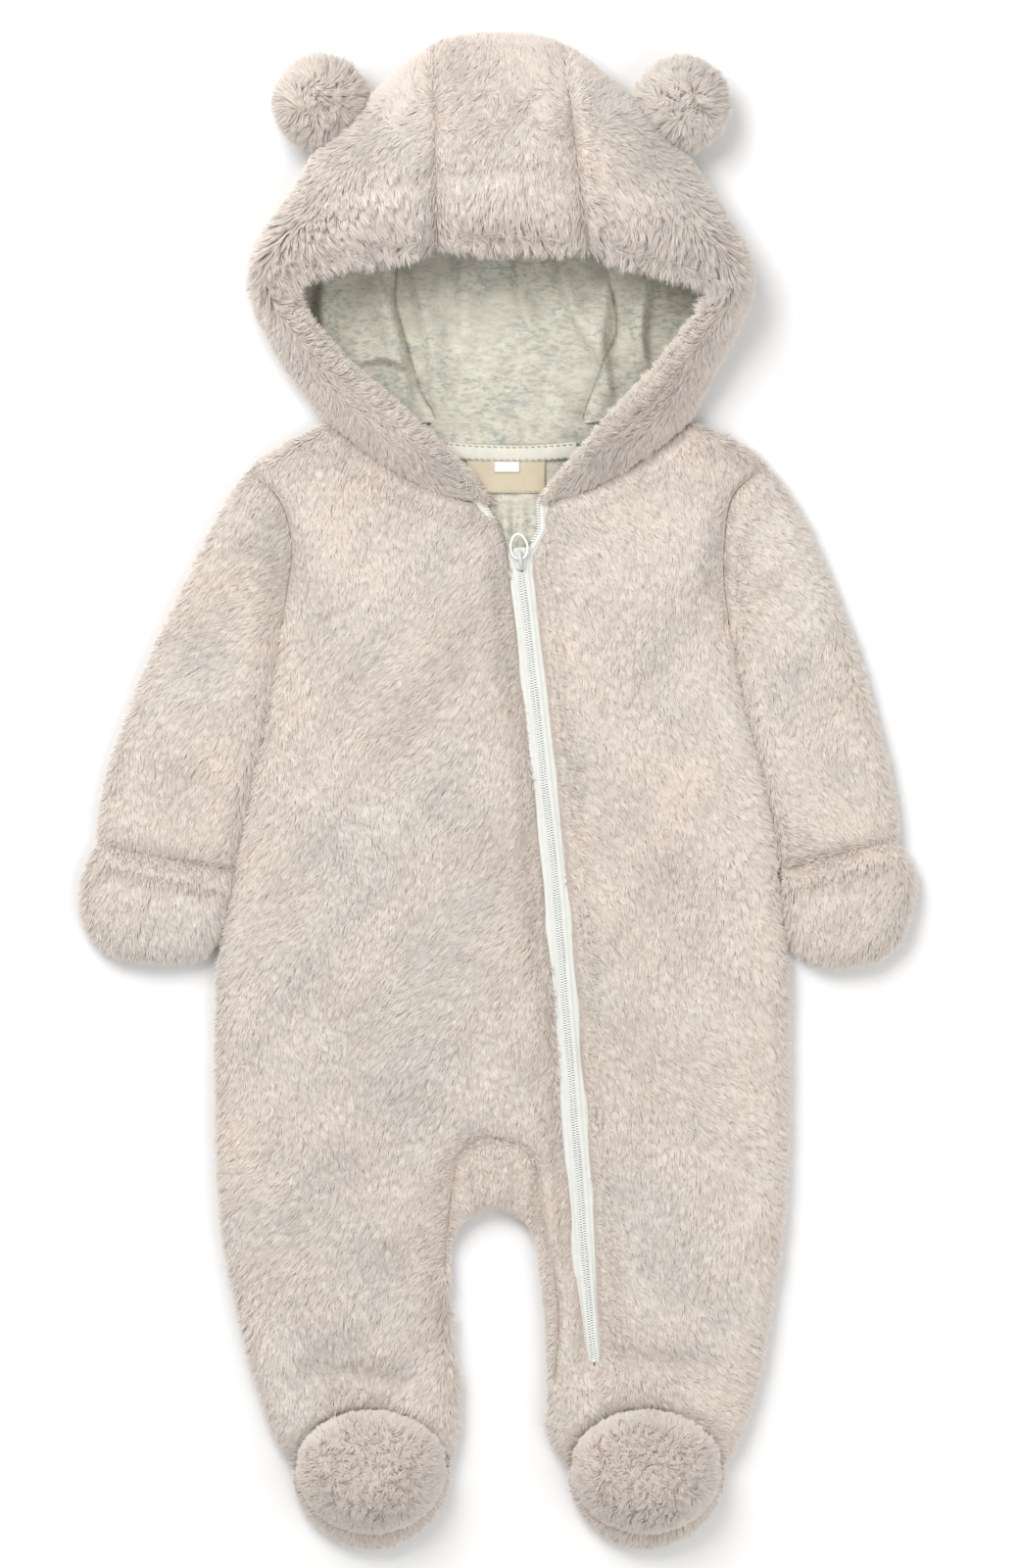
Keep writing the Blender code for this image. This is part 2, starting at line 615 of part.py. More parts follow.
def make_foot(side):
    """The sole, which lies on the surface and turns up round the toe, and the vamp domed over it."""
    seam = MIDDLE - PARTING
    marks = np.array(BACK_MARKS)
    rows = [leg_row(side, HEEL_ROW, -HEEL_DROP)(marks)]
    for k in (HEEL_ROW + 1, HEEL_ROW + 2):
        outer, inner = leg_ends(side, k)
        rows.append(bowed_row(outer, inner, 0, 1.0, marks))
    for angle in TOE_ANGLES:
        rows.append(bowed_row(toe(side, angle), toe(side, 180 - angle), 0, 1.0, marks))
    tip = TOE_RADIUS * (1 - math.sin(math.radians(TOE_ANGLES[-1])))
    rows[-1] = bowed_row(rows[-1][0], rows[-1][-1], -tip, 1.0, marks)
    rows = np.array([with_edge_steps(row) for row in rows])
    widest = 2
    edge = np.concatenate([rows[widest:, 0], rows[-1, 1:-1], rows[widest:, -1][::-1]])
    centre = np.array((FOOT_X[side], FOOT_Y))
    angles = np.arctan2(*(edge - centre)[:, ::-1].T)
    seam_line = centre + np.column_stack([
        (VAMP_HALF_WIDTH + TOE_GAP) * np.cos(angles), (VAMP_DOWN + TOE_GAP) * np.sin(angles)
    ])
    rim = [edge + (seam_line - edge) * share for share in RIM_ROWS]
    turned = side == "right"
    under = part_first_row((*lay(rows, False, seam), turned))
    shell(f"sole_{side}", [under, (*lay(rim, True, seam), turned)], "sole")

    ankle = ankle_line(side)[1:-1]
    ankle += unit(centre - ankle) * SEAM_GAP * 1.5
    toe_cap = [
        (FOOT_X[side] + VAMP_HALF_WIDTH * math.cos(a), FOOT_Y - VAMP_DOWN * math.sin(a))
        for a in np.linspace(0, math.pi, 9)
    ]
    ring = np.array([*(toe_cap if side == "left" else toe_cap[::-1]), *ankle])
    ring = np.concatenate([ring, ring[:1]])
    outer_edge, _ = lay(ring, True, MIDDLE)
    middle = np.array((*centre, 0))
    inner_edge = outer_edge + (middle - outer_edge) * (VAMP_INSET, VAMP_INSET, 0)
    inner_edge[:, 2] = outer_edge[:, 2] - VAMP_WALL
    outer, inner = [], []
    for share in VAMP_ROWS:
        swell = (1 - share**VAMP_POWER) ** (1 / VAMP_POWER)
        for grid, base, crest in (
            (outer, outer_edge, VAMP_CREST), (inner, inner_edge, VAMP_CREST - VAMP_WALL)
        ):
            row = middle + (base - middle) * share
            row[:, 2] = base[:, 2] + (crest - base[:, 2]) * swell
            grid.append(row)
    shell(f"vamp_{side}", [(np.array(outer), np.array(inner), False)])


def section_facing(grid, fold):
    """The outward direction at each point of rows that run from a rim over to a fold and back under.

    It is square to the row within the row's own upright plane, so that walls of neighbouring rows
    never cross: out is the plan direction from rim to fold, and under the one from inside to fold.
    """
    plan = grid[..., :2]
    out = unit(plan[:, fold] - plan[:, 0])
    under = unit(plan[:, fold] - plan[:, fold + len(FOLD_STEPS)])
    level = np.repeat(out[:, None], grid.shape[1], axis=1)
    level[:, fold] = unit(out + under)
    level[:, fold + 1 :] = under[:, None]
    steps = unit(np.diff(grid, axis=1))
    along = np.concatenate([steps[:, :1], steps[:, :-1] + steps[:, 1:], steps[:, -1:]], axis=1)
    run = (along[..., :2] * level).sum(-1, keepdims=True)
    return unit(np.concatenate([-along[..., 2:] * level, run], axis=-1))


def hood_side_grid(side, neck_row):
    """A side of the hood: each row runs from the rim over to the outline's fold and under to its seam."""
    walk = np.concatenate([[0], np.cumsum(np.linalg.norm(np.diff(neck_row, axis=0), axis=1))])
    t = walk / walk[-1]
    seam_x = HOOD_SEAM_X[side]
    s = (seam_x - TRUNK[0][0]) / (TRUNK[0][2] - TRUNK[0][0])
    back_neck = trunk_row(TRUNK[0], BACK_DIP)
    grid = []
    top, top_inner = lay(neck_row, True, MIDDLE)
    outer_end = np.array((*neck_row[-1], 0.0))
    seam_end = np.array((seam_x, back_neck([s])[0, 1], 0.0))
    under_neck = [outer_end + (seam_end - outer_end) * share for share in NECK_FOLD]
    for point, q in zip(under_neck, (*FOLD_STEPS, 1.0)):
        point[2] = MIDDLE * (1 - math.sqrt(1 - (1 - q) ** 2))
    grid.append(np.array([*top, *under_neck]) + (0, NECK_GAP, 0))
    for rim_x, rim_y, rim_z, edge_x, edge_y, fold, back_y in HOOD[side]:
        rim, edge = np.array((rim_x, rim_y)), np.array((edge_x, edge_y))
        row = []
        width = np.linalg.norm(edge - rim)
        swell = min(HOOD_PUFF, HOOD_PUFF_SHARE * width)
        for step in t:
            x, y = rim + (edge - rim) * step
            puff = swell * math.sin(math.pi * step)
            rest = max(0.0, 1 - (1 - step) * width / min(width, HOOD_ROUND * (rim_z - fold)))
            row.append((x, y, fold + (rim_z + puff - fold) * math.sqrt(1 - rest**2)))
        end = np.array((seam_x, back_y))
        length = np.linalg.norm(end - edge)
        reach = min(FOLD_REACH * fold, FOLD_LIMIT * length)
        for q in FOLD_STEPS:
            x, y = edge + (end - edge) * q * reach / length
            row.append((x, y, fold * (1 - math.sqrt(1 - (1 - q) ** 2))))
        row.append((*end, 0.0))
        grid.append(row)
    grid = np.array(grid)
    facing = section_facing(grid, len(t) - 1)
    facing[0, : len(t)] = unit(top - top_inner)
    return grid, facing


def pull_in(points, neighbours, gap):
    """Points moved by a gap towards their neighbours, in plan and in height."""
    return points + unit(neighbours - points) * gap


def make_hood(neck_rows):
    """The hood's two sides and its middle panel, and the lining that shows inside it."""
    grids, normals = {}, {}
    for side in ("left", "right"):
        grids[side], normals[side] = hood_side_grid(side, neck_rows[side])
    left, right = (np.concatenate([g[-1], g[-2::-1, -1]]) for g in (grids["left"], grids["right"]))
    top_count = len(neck_rows["left"])
    bulge = np.zeros(len(left))
    bulge[:top_count] = CROWN_BULGE
    bulge[top_count : top_count + len(FOLD_BULGE)] = CROWN_BULGE * np.array(FOLD_BULGE)
    across = np.array(CROWN_MARKS)
    middle = np.array([left * (1 - s) + right * s for s in across])
    middle[:, :, 1] += bulge * (4 * across * (1 - across))[:, None]
    facing = section_facing(middle, top_count - 1)

    def build(name, grid, facing, depth, wall, turned, cut, finish):
        outer, inner = grid - facing * depth, grid - facing * (depth + wall)
        for part in (outer, inner):
            cut(part)
        shell(name, [(outer, inner, turned)], finish)

    def cut_side(part):
        part[-1] = pull_in(part[-1], part[-2], SEAM_GAP / 2)
        part[:-1, -1] = pull_in(part[:-1, -1], part[:-1, -2], SEAM_GAP / 2)

    def cut_middle(part):
        part[0] = pull_in(part[0], part[1], SEAM_GAP / 2)
        part[-1] = pull_in(part[-1], part[-2], SEAM_GAP / 2)

    for side in ("left", "right"):
        turned = side == "left"
        build(f"hood_{side}", grids[side], normals[side], 0, HOOD_WALL, turned, cut_side, "plush")
        build(
            f"hood_lining_{side}", grids[side][1:, LINING_FROM:], normals[side][1:, LINING_FROM:],
            HOOD_WALL + LINING_GAP, LINING_WALL, turned, cut_side, "lining",
        )
    build("hood_middle", middle, facing, 0, HOOD_WALL, False, cut_middle, "plush")
    build(
        "hood_lining_middle", middle[:, LINING_FROM:-1], facing[:, LINING_FROM:-1],
        HOOD_WALL + LINING_GAP, LINING_WALL, False, cut_middle, "lining",
    )


def make_ear(side):
    """An ear: a flattened ball, cut flat where it is sewn to the hood."""
    x, y, angle = EARS[side]
    mesh = bpy.data.meshes.new(f"ear_{side}")
    work = bmesh.new()
    bmesh.ops.create_uvsphere(work, u_segments=14, v_segments=8, radius=EAR_RADIUS * MM)
    bmesh.ops.scale(work, vec=(1, 1, EAR_HALF_HEIGHT / EAR_RADIUS), verts=work.verts)
    turn = math.radians(angle)
    inward = (math.sin(turn), -math.cos(turn), 0)
    cut = bmesh.ops.bisect_plane(
        work, geom=work.verts[:] + work.edges[:] + work.faces[:],
        plane_co=[EAR_CUT * MM * v for v in inward], plane_no=inward, clear_outer=True,
    )
    rim = [e for e in cut["geom_cut"] if isinstance(e, bmesh.types.BMEdge)]
    bmesh.ops.contextual_create(work, geom=rim)
    bmesh.ops.triangulate(work, faces=work.faces[:])
    bmesh.ops.translate(work, vec=(x * MM, y * MM, EAR_Z * MM), verts=work.verts)
    work.to_mesh(mesh)
    work.free()
    face_outwards(mesh)
    add_object(f"ear_{side}", mesh, "plush")


def make_plate(name, low_x, high_x, low_y, high_y, z, wall, finish):
    """A flat piece of cloth between these limits."""
    mesh = bpy.data.meshes.new(name)
    work = bmesh.new()
    bmesh.ops.create_cube(work, size=1.0)
    bmesh.ops.scale(work, vec=((high_x - low_x) * MM, (high_y - low_y) * MM, wall * MM), verts=work.verts)
    middle = ((low_x + high_x) / 2 * MM, (low_y + high_y) / 2 * MM, (z + wall / 2) * MM)
    bmesh.ops.translate(work, vec=middle, verts=work.verts)
    work.to_mesh(mesh)
    work.free()
    add_object(name, mesh, finish)


def make_tape(side):
    """Half of the zip's tape: beside the zip's line, and along the front's edge in the open neck."""
    hand = -1 if side == "left" else 1
    rows = []
    for y in TAPE_ROWS:
        near = zip_edge(y, 0) + hand * SEAM_GAP
        if y > SLIDER_Y:
            near = zip_edge(y, hand) - hand * TAPE_SHOWS[side]
        rows.append([(near, y), (near + hand * TAPE_WIDTH, y)])
    plan = np.array(rows)
    low = np.dstack([plan, np.full(plan.shape[:2], TAPE_Z)])
    high = low + (0, 0, TAPE_WALL)
    shell(f"zip_tape_{side}", [(high, low, side == "left")], "zip_tape")


def make_chain():
    """The closed chain: a low half-round ridge along the zip's line."""
    rows = []
    for y in np.linspace(CHAIN_TOP, CHAIN_FOOT, CHAIN_ROWS):
        x = zip_edge(y, 0)
        rows.append([
            (x + CHAIN_WIDTH / 2 * across, y, CHAIN_Z + CHAIN_HEIGHT * up)
            for across, up in CHAIN_SECTION
        ])
    high = np.array(rows)
    low = high.copy()
    low[:, :, 2] = CHAIN_Z - CHAIN_EDGE
    shell("zip_chain", [(high, low, False)], "zip_plastic")


def tube(name, points, radius, cyclic):
    """A round wire through points, as a mesh."""
    curve = bpy.data.curves.new(name, "CURVE")
    curve.dimensions = "3D"
    curve.bevel_depth = radius * MM
    curve.bevel_resolution = 2
    curve.use_fill_caps = not cyclic
    spline = curve.splines.new("POLY")
    spline.points.add(len(points) - 1)
    for slot, point in zip(spline.points, points):
        slot.co = (*(c * MM for c in point), 1)
    spline.use_cyclic_u = cyclic
    holder = bpy.data.objects.new(name, curve)
    SUIT.objects.link(holder)
    mesh = bpy.data.meshes.new_from_object(holder.evaluated_get(bpy.context.evaluated_depsgraph_get()))
    bpy.data.objects.remove(holder)
    bpy.data.curves.remove(curve)
    work = bmesh.new()
    work.from_mesh(mesh)
    bmesh.ops.remove_doubles(work, verts=work.verts, dist=1e-6)
    bmesh.ops.recalc_face_normals(work, faces=work.faces)
    work.to_mesh(mesh)
    work.free()
    return mesh


def make_slider_and_ring():
    """The slider on the chain's top end, and the ring that hangs on its bridge."""
    lean = math.atan2(zip_edge(LEAN_Y, 0) - zip_edge(SLIDER_Y, 0), SLIDER_Y - LEAN_Y)
    anchor = (zip_edge(SLIDER_Y, 0) * MM, SLIDER_Y * MM, 0)
    width, length, height = SLIDER
    mesh = bpy.data.meshes.new("zip_slider")
    work = bmesh.new()
    bmesh.ops.create_cube(work, size=1.0)
    bmesh.ops.scale(work, vec=(width * MM, length * MM, height * MM), verts=work.verts)
    for corner in work.verts:
        if corner.co.y < 0:
            corner.co.x *= SLIDER_NECK
    bmesh.ops.translate(work, vec=(0, 0, (SLIDER_Z + height / 2) * MM), verts=work.verts)
    work.to_mesh(mesh)
    work.free()
    body = add_object("zip_slider", mesh, "zip_plastic")
    bevel = body.modifiers.new("corners", "BEVEL")
    bevel.width = SLIDER_BEVEL * MM
    bevel.segments = 2
    foot = SLIDER_Z + height - BRIDGE_SINK
    arch = [
        (0, -BRIDGE_HALF * math.cos(a), foot + (BRIDGE_RISE + BRIDGE_SINK) * math.sin(a) ** 0.6)
        for a in np.linspace(0, math.pi, 11)
    ]
    bridge = bpy.data.objects.new("bridge", tube("bridge", arch, BRIDGE_RADIUS, False))
    GUIDES.objects.link(bridge)
    bridge.hide_render = True
    bridge.display_type = "WIRE"
    union = body.modifiers.new("bridge", "BOOLEAN")
    union.operation = "UNION"
    union.object = bridge
    for part in (body, bridge):
        part.location = anchor
        part.rotation_euler = (0, 0, lean)

    ring = [
        (RING_HALF_WIDTH * math.cos(a) * (1 - RING_TAPER * math.sin(a)),
         RING_NEAR * RING_RADIUS + (RING_LENGTH / 2 - RING_RADIUS) * (1 + math.sin(a)), 0)
        for a in np.linspace(-math.pi / 2, 1.5 * math.pi, 18, endpoint=False)
    ]
    pull = add_object("zip_pull", tube("zip_pull", ring, RING_RADIUS, True), "zip_plastic")
    pull.location = (anchor[0], anchor[1], RING_Z * MM)
    pull.rotation_euler = (0, 0, lean)


def make_suit():
    """Every piece, from the body out."""
    outer_neck, inner_neck, right_neck = make_fronts()
    make_back()
    make_gusset()
    for side in ("left", "right"):
        make_mitt(side, make_sleeve(side))
        make_foot(side)
        make_ear(side)
        make_tape(side)
    marks = len(EDGE_STEPS)
    left_neck = [*outer_neck[: -1 - marks], inner_neck[0], *inner_neck[1 + marks :]]
    make_hood({"left": np.array(left_neck)[::-1], "right": np.array(right_neck)})
    low_x, low_y, high_x, high_y = YOKE
    make_plate("neck_lining", low_x, high_x, low_y, high_y, YOKE_Z, YOKE_WALL, "lining")
    make_plate("neck_band", *BAND, BAND_Z, BAND_WALL, "lining")
    make_plate("label", *LABEL, LABEL_Z, LABEL_WALL, "label")
    make_plate("size_tab", *TAB, TAB_Z, TAB_WALL, "zip_tape")
    make_chain()
    make_slider_and_ring()


for old in list(bpy.data.objects):
    bpy.data.objects.remove(old)
SUIT = bpy.data.collections.new("snowsuit")
GUIDES = bpy.data.collections.new("guides")
for collection in (SUIT, GUIDES):
    bpy.context.scene.collection.children.link(collection)

OUTLINE = make_outline()
along_outline = unit(np.diff(OUTLINE, axis=0))
facing_out = np.column_stack([along_outline[:, 1], -along_outline[:, 0]])
OUTLINE_NORMALS = unit(
    np.concatenate([facing_out[:1], facing_out[:-1] + facing_out[1:], facing_out[-1:]])
)
make_suit()
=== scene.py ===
"""The looks of a baby's plush snowsuit that lies flat on its back.

Each cloth piece is a thin shell worked out on its solid's form, in millimetres, and a nap of small
leaves that grow out of it in tufts. The hood's jersey lining, the zip and the trims lie in between.
X runs across the suit, Y from the feet to the hood, Z up from the surface that it lies on.
"""

import itertools
import math

import bpy
import numpy as np
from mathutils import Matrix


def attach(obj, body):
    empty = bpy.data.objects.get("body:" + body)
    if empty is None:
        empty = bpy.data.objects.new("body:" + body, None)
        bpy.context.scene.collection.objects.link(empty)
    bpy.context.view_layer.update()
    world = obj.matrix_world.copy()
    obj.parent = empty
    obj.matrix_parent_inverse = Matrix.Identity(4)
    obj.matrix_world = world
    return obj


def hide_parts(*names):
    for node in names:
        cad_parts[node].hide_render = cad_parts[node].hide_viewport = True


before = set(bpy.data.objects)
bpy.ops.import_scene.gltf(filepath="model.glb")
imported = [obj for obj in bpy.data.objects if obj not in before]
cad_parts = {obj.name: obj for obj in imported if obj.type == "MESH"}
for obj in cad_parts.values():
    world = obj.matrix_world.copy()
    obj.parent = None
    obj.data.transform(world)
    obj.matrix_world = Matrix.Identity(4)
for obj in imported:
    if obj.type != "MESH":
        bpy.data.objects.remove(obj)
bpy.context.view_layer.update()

MM = 0.001
HANDS = {"left": -1, "right": 1}  # the way that each side lies along X
SIDE_COLUMNS = {"left": slice(0, 2), "right": slice(2, 4)}  # a side's x and y in a table of rows

# ---------------------------------------------------------------- the suit's cut, in millimetres

MIDDLE = 7.8  # the height of the side seams
TOP = 14.2  # the front's backing, under its nap
FLOOR_GAP = 2.0  # the back's backing lies this high, on its flattened nap
EDGE_REACH = 13.0  # how far in from the outline a layer's edge is rounded
PUFF, PUFF_REACH = 1.3, 24.0  # how much a panel swells inwards from its edge
PARTING = 0.2  # half the gap between the front and the back
SEAM_WIDTH = 5.5  # how wide a seam's trough in the front is, to either side

# The trunk's rows from the neck to the legs. dip: how far a row's middle hangs below its ends
TRUNK = np.array((
    # left x, y, right x, y, dip
    (-85, 187, 97, 188, 43),
    (-106, 176, 117, 178, 40.5),
    (-127, 163, 136, 166, 37),
    (-112, 149, 120, 151, 33),
    (-105, 124, 115, 126, 22),
    (-107, 104, 115, 105, 14),
    (-110, 86, 117.5, 86, 6),
    (-115, 50, 123, 50, 1),
    (-125, 0, 135.5, 0, 0),
    (-140, -85, 145, -85, 0),
    (-141, -177, 145, -177, 0),
), float)
SHOULDER_ROW, ARMPIT_ROW = 2, 6
BACK_DIP = 10 / 43  # the back's neck dips this much of the front's
# Where a row is divided between the two legs' grids, as a share of its width
DIVIDE_TOP, DIVIDE_FOOT, BACK_DIVIDE_TOP = 0.29, 0.4895, 0.47

# The gusset's seam is an arch between the legs; the crotch is the cloth's own edge below it
GUSSET_ARCH = (-1, -199, 22)  # centre x, y and radius
CROTCH_ARCH = (-2, -235, 23)
ARCH_ROWS, ARCH_TURN = 3, 30  # the legs' rows that end on it, and the degrees between them
GUSSET_ENDS = {"left": 4, "right": 6}  # the rows where the gusset ends
NONE = float("nan")
LEGS = {
    # outer x, y, inner x, y, rise; the inner ends of the first three lie on the gusset's arch
    "left": (
        (-140.6, -190, NONE, NONE, 0),
        (-139.8, -204, NONE, NONE, 0),
        (-138.8, -218, NONE, NONE, 0),
        (-136.5, -236, -25.5, -222, 0),
        (-132, -256, -26.8, -241, 0),
        (-127.5, -278, -25, -266, 1),
        (-120.5, -303, -21.5, -303, 5),
        (-113, -325, -22.5, -325, 14),
        (-102, -346, -27, -346, 29),
    ),
    "right": (
        (144.8, -190, NONE, NONE, 0),
        (144, -204, NONE, NONE, 0),
        (143, -218, NONE, NONE, 0),
        (141, -236, 23.5, -222, 0),
        (138, -256, 28.5, -245, 0),
        (134, -278, 31, -268, 1),
        (129, -303, 29, -299, 5),
        (122, -325, 27, -325, 14),
        (113, -346, 38, -346, 29),
    ),
}
INSEAMS = {
    "left": ((-25, -235), (-25, -241), (-25, -266), (-21.5, -303), (-22.5, -325), (-27, -346)),
    "right": ((21, -235), (22.4, -246), (25, -270), (26, -300), (27, -325), (38, -346)),
}
HEEL_ROW, HEEL_DROP = 6, 8.0  # where the back meets the sole, in a curve that hangs this deep
FOOT_X = {"left": -64.5, "right": 75.5}
FOOT_Y, TOE_RADIUS = -346.0, 38.0
TOE_TURNS = (7, 14, 21, 28, 35, 42, 49, 55, 61, 66, 70, 74)  # where the sole's rows end on the toe
# The vamp's plan, how high it is, and how square its section is
VAMP_HALF_WIDTH, VAMP_DOWN, VAMP_CREST, VAMP_POWER = 35.5, 30.0, 32.0, 2.3
VAMP_SEAM, VAMP_BASE = 1.1, 13.0  # the sole's gap beside the vamp, and where the dome starts at most

# Sleeves and mitts: rows from the shoulder to the hand
SLEEVES = {
    # outer x, y, inner x, y
    "left": (
        (-144, 133, -113.6, 70), (-158.5, 103, -116.5, 52), (-173, 73, -120.4, 32),
        (-185, 43, -124.8, 11), (-196, 13, -129.4, -11), (-201, -10, -132.8, -29),
        (-204, -27, -135.2, -41),
    ),
    "right": (
        (154.5, 135, 121.8, 70), (167.5, 105, 124.6, 52), (179.5, 74, 129.4, 32),
        (188.5, 44, 134.8, 11), (196.5, 13, 139.4, -11), (200.5, -8, 142.4, -29),
        (202.5, -24, 144.2, -41),
    ),
}
MITTS = {
    "left": (
        (-208.5, -38, -137.5, -52), (-211, -52, -140.5, -64), (-209.5, -66, -143.5, -74),
        (-203, -77, -150, -81.5), (-194, -83, -160, -85),
    ),
    "right": (
        (206.5, -34, 146, -52), (211, -48, 147, -66), (208.5, -63, 149.5, -76),
        (204, -75, 155.5, -83.5), (194, -84.5, 166, -87.5),
    ),
}
HAND_BOW = 1.2  # how far a mitt's end is bowed
ARM_SEAM = 3.8  # how deep the seams at the armholes and the cuffs lie
MITT_SWELL, MITT_ROLL = 3.2, 2.2  # how high a mitt is stuffed, and its turned edge beside the cuff

# The zip, from the open neck down. half gap: from its line to the front's edge on either side
ZIP = np.array((
    # y, x, half gap
    (152, 8.5, 16.5),
    (146, 8.5, 14.5),
    (133, 12.5, 11.0),
    (120, 11.0, 5.6),
    (103, 12.6, 6.2),
    (53, 18.3, 6.2),
    (3, 23.8, 6.2),
    (-47, 29.3, 6.2),
    (-97, 33.3, 6.2),
    (-147, 37.3, 6.2),
    (-197, 41.3, 6.0),
    (-247, 44.8, 5.1),
    (-276, 47.4, 3.9),
    (-293, 49.1, 2.2),
    (-297.5, 49.6, 0.2),
    (-300, 49.9, -0.4),
    (-346, 57.0, -0.1),
), float)[::-1]

# The hood's rows run up each side, from the neck's seam to the middle panel's seam
HOOD = {
    # rim x, y, z, edge x, y, fold's height, y where the row meets the seam underneath
    "left": (
        (-19, 163, 21, -90, 194, 10.5, 190),
        (-34, 178, 26, -98, 204, 12.5, 203),
        (-54, 196, 31, -107, 215, 14.5, 218),
        (-73, 212, 34.5, -115, 228, 16, 234),
        (-90, 229, 37.5, -121, 242, 17.5, 252),
        (-104, 246, 39.5, -124, 256, 18, 268),
        (-108, 257, 41, -122, 270, 18.5, 284),
        (-100, 264.5, 43, -115, 286, 18.5, 300),
        (-84, 270, 46, -102, 307, 18, 316),
        (-66, 273.5, 48, -86, 331, 17, 333),
        (-48, 276.5, 50, -62, 354, 16.5, 350),
        (-31, 278.5, 51, -33, 381, 16, 364),
    ),
    "right": (
        (33, 160, 21, 100, 195, 10.5, 190),
        (46, 175, 26, 105, 205, 12.5, 203),
        (62, 193, 31, 111, 216, 14.5, 218),
        (80, 212, 34.5, 118, 229, 16, 234),
        (94, 229, 37.5, 124, 243, 17.5, 252),
        (106, 244, 39.5, 127, 257, 18, 268),
        (111, 255, 41, 125, 270, 18.5, 284),
        (103, 262, 43, 118, 286, 18.5, 300),
        (90, 267, 46, 106, 307, 18, 316),
        (75, 271, 48, 89, 331, 17, 333),
        (60, 274.5, 50, 65, 354, 16.5, 350),
        (45, 277, 51, 33, 381, 16, 364),
    ),
}
HOOD_SEAM_X = {"left": -31, "right": 33}  # where the sides meet the middle panel underneath
HOOD_ROUND = 2.0  # how far in from its fold a row is rounded, in heights
HOOD_PUFF, HOOD_PUFF_SHARE = 6.0, 0.08  # a row's swell at most, and as a share of its width
FOLD_REACH = 1.2  # how far a fold turns under, in heights of the fold
NECK_FOLD_SHARE = 0.16  # how much of the way to its seam underneath the neck's row turns under
CROWN_BULGE = 3.0  # how far the middle panel bulges upwards
RIM_ROLL = 3.0  # the radius of the rolled hem at the hood's rim
LINING_DEPTH = 6.6  # how far the lining lies inside the hood's backing
EARS = {"left": (-90, 349.5, 43.8), "right": (93.1, 349.1, -43.8)}
EAR_RADIUS, EAR_HALF_HEIGHT, EAR_Z = 20.5, 12.5, 18.0
EAR_SEWN = 14.8  # how far the side that is sewn to the hood lies from the ear's middle


def unit(vectors):
    """Each vector at a length of one."""
    return vectors / np.maximum(np.linalg.norm(vectors, axis=-1, keepdims=True), 1e-9)


def bell(x, width):
    """A bell-shaped curve: one at 0, and 0.37 at its width to either side."""
    return np.exp(-((x / width) ** 2))


def climb(x, start, width):
    """A straight climb from 0 to 1 that begins at start."""
    return np.clip((x - start) / width, 0, 1)


def walked(line):
    """How far along a line each of its points lies."""
    return np.concatenate([[0], np.cumsum(np.linalg.norm(np.diff(line, axis=0), axis=1))])


def curved(rows, gap=4.0, corners=()):
    """Rows of points made denser along their first axis, each column on a smooth curve.

    Between two points the curve is a cubic Hermite one. Its direction at a point is the mean of the
    two chords' directions there, each weighted by the other's length; at a corner it is the chord's.
    """
    rows = np.asarray(rows, float)
    chord = np.diff(rows, axis=0)
    length = np.maximum(np.linalg.norm(chord, axis=-1, keepdims=True), 1e-6)
    way = chord / length
    out = [rows[:1]]
    for k in range(len(chord)):
        ends = []
        for i in (k, k + 1):
            if i in (0, len(chord)) or i in corners:
                ends.append(way[k])
            else:
                mean = way[i - 1] * length[i] + way[i] * length[i - 1]
                ends.append(mean / (length[i - 1] + length[i]))
        n = max(1, math.ceil(length[k].max() / gap))
        t = (np.arange(1, n + 1) / n).reshape(-1, *[1] * rows[0].ndim)
        out.append(
            (2 * t**3 - 3 * t**2 + 1) * rows[k] + (t**3 - 2 * t**2 + t) * length[k] * ends[0]
            + (3 * t**2 - 2 * t**3) * rows[k + 1] + (t**3 - t**2) * length[k] * ends[1]
        )
    return np.concatenate(out)


def bowed(start, end, bow, power, marks):
    """A row from start to end at marks s, moved up by bow times (4s(1-s)) to a power."""
    s = np.asarray(marks, float)[:, None]
    row = np.array(start, float) * (1 - s) + np.array(end, float) * s
    row[:, 1] += (bow * np.maximum(4 * s * (1 - s), 0) ** power)[:, 0]
    return row


def on_arch(arch, degrees):
    """A point on an arch, by its angle from +X."""
    x, y, radius = arch
    turn = math.radians(degrees)
    return (x + radius * math.cos(turn), y + radius * math.sin(turn))


def toe(side, degrees):
    """A point on the toe's edge, by its angle below the widest place, from the suit's outer side."""
    turn = math.radians(degrees)
    return (
        FOOT_X[side] + HANDS[side] * TOE_RADIUS * math.cos(turn), FOOT_Y - TOE_RADIUS * math.sin(turn)
    )


def leg_ends(side, k):
    """The outer and the inner end of a leg's row."""
    outer_x, outer_y, inner_x, inner_y, _ = LEGS[side][k]
    if k < ARCH_ROWS:
        inner_x, inner_y = on_arch(GUSSET_ARCH, 90 - HANDS[side] * ARCH_TURN * (k + 1))
    return (outer_x, outer_y), (inner_x, inner_y)


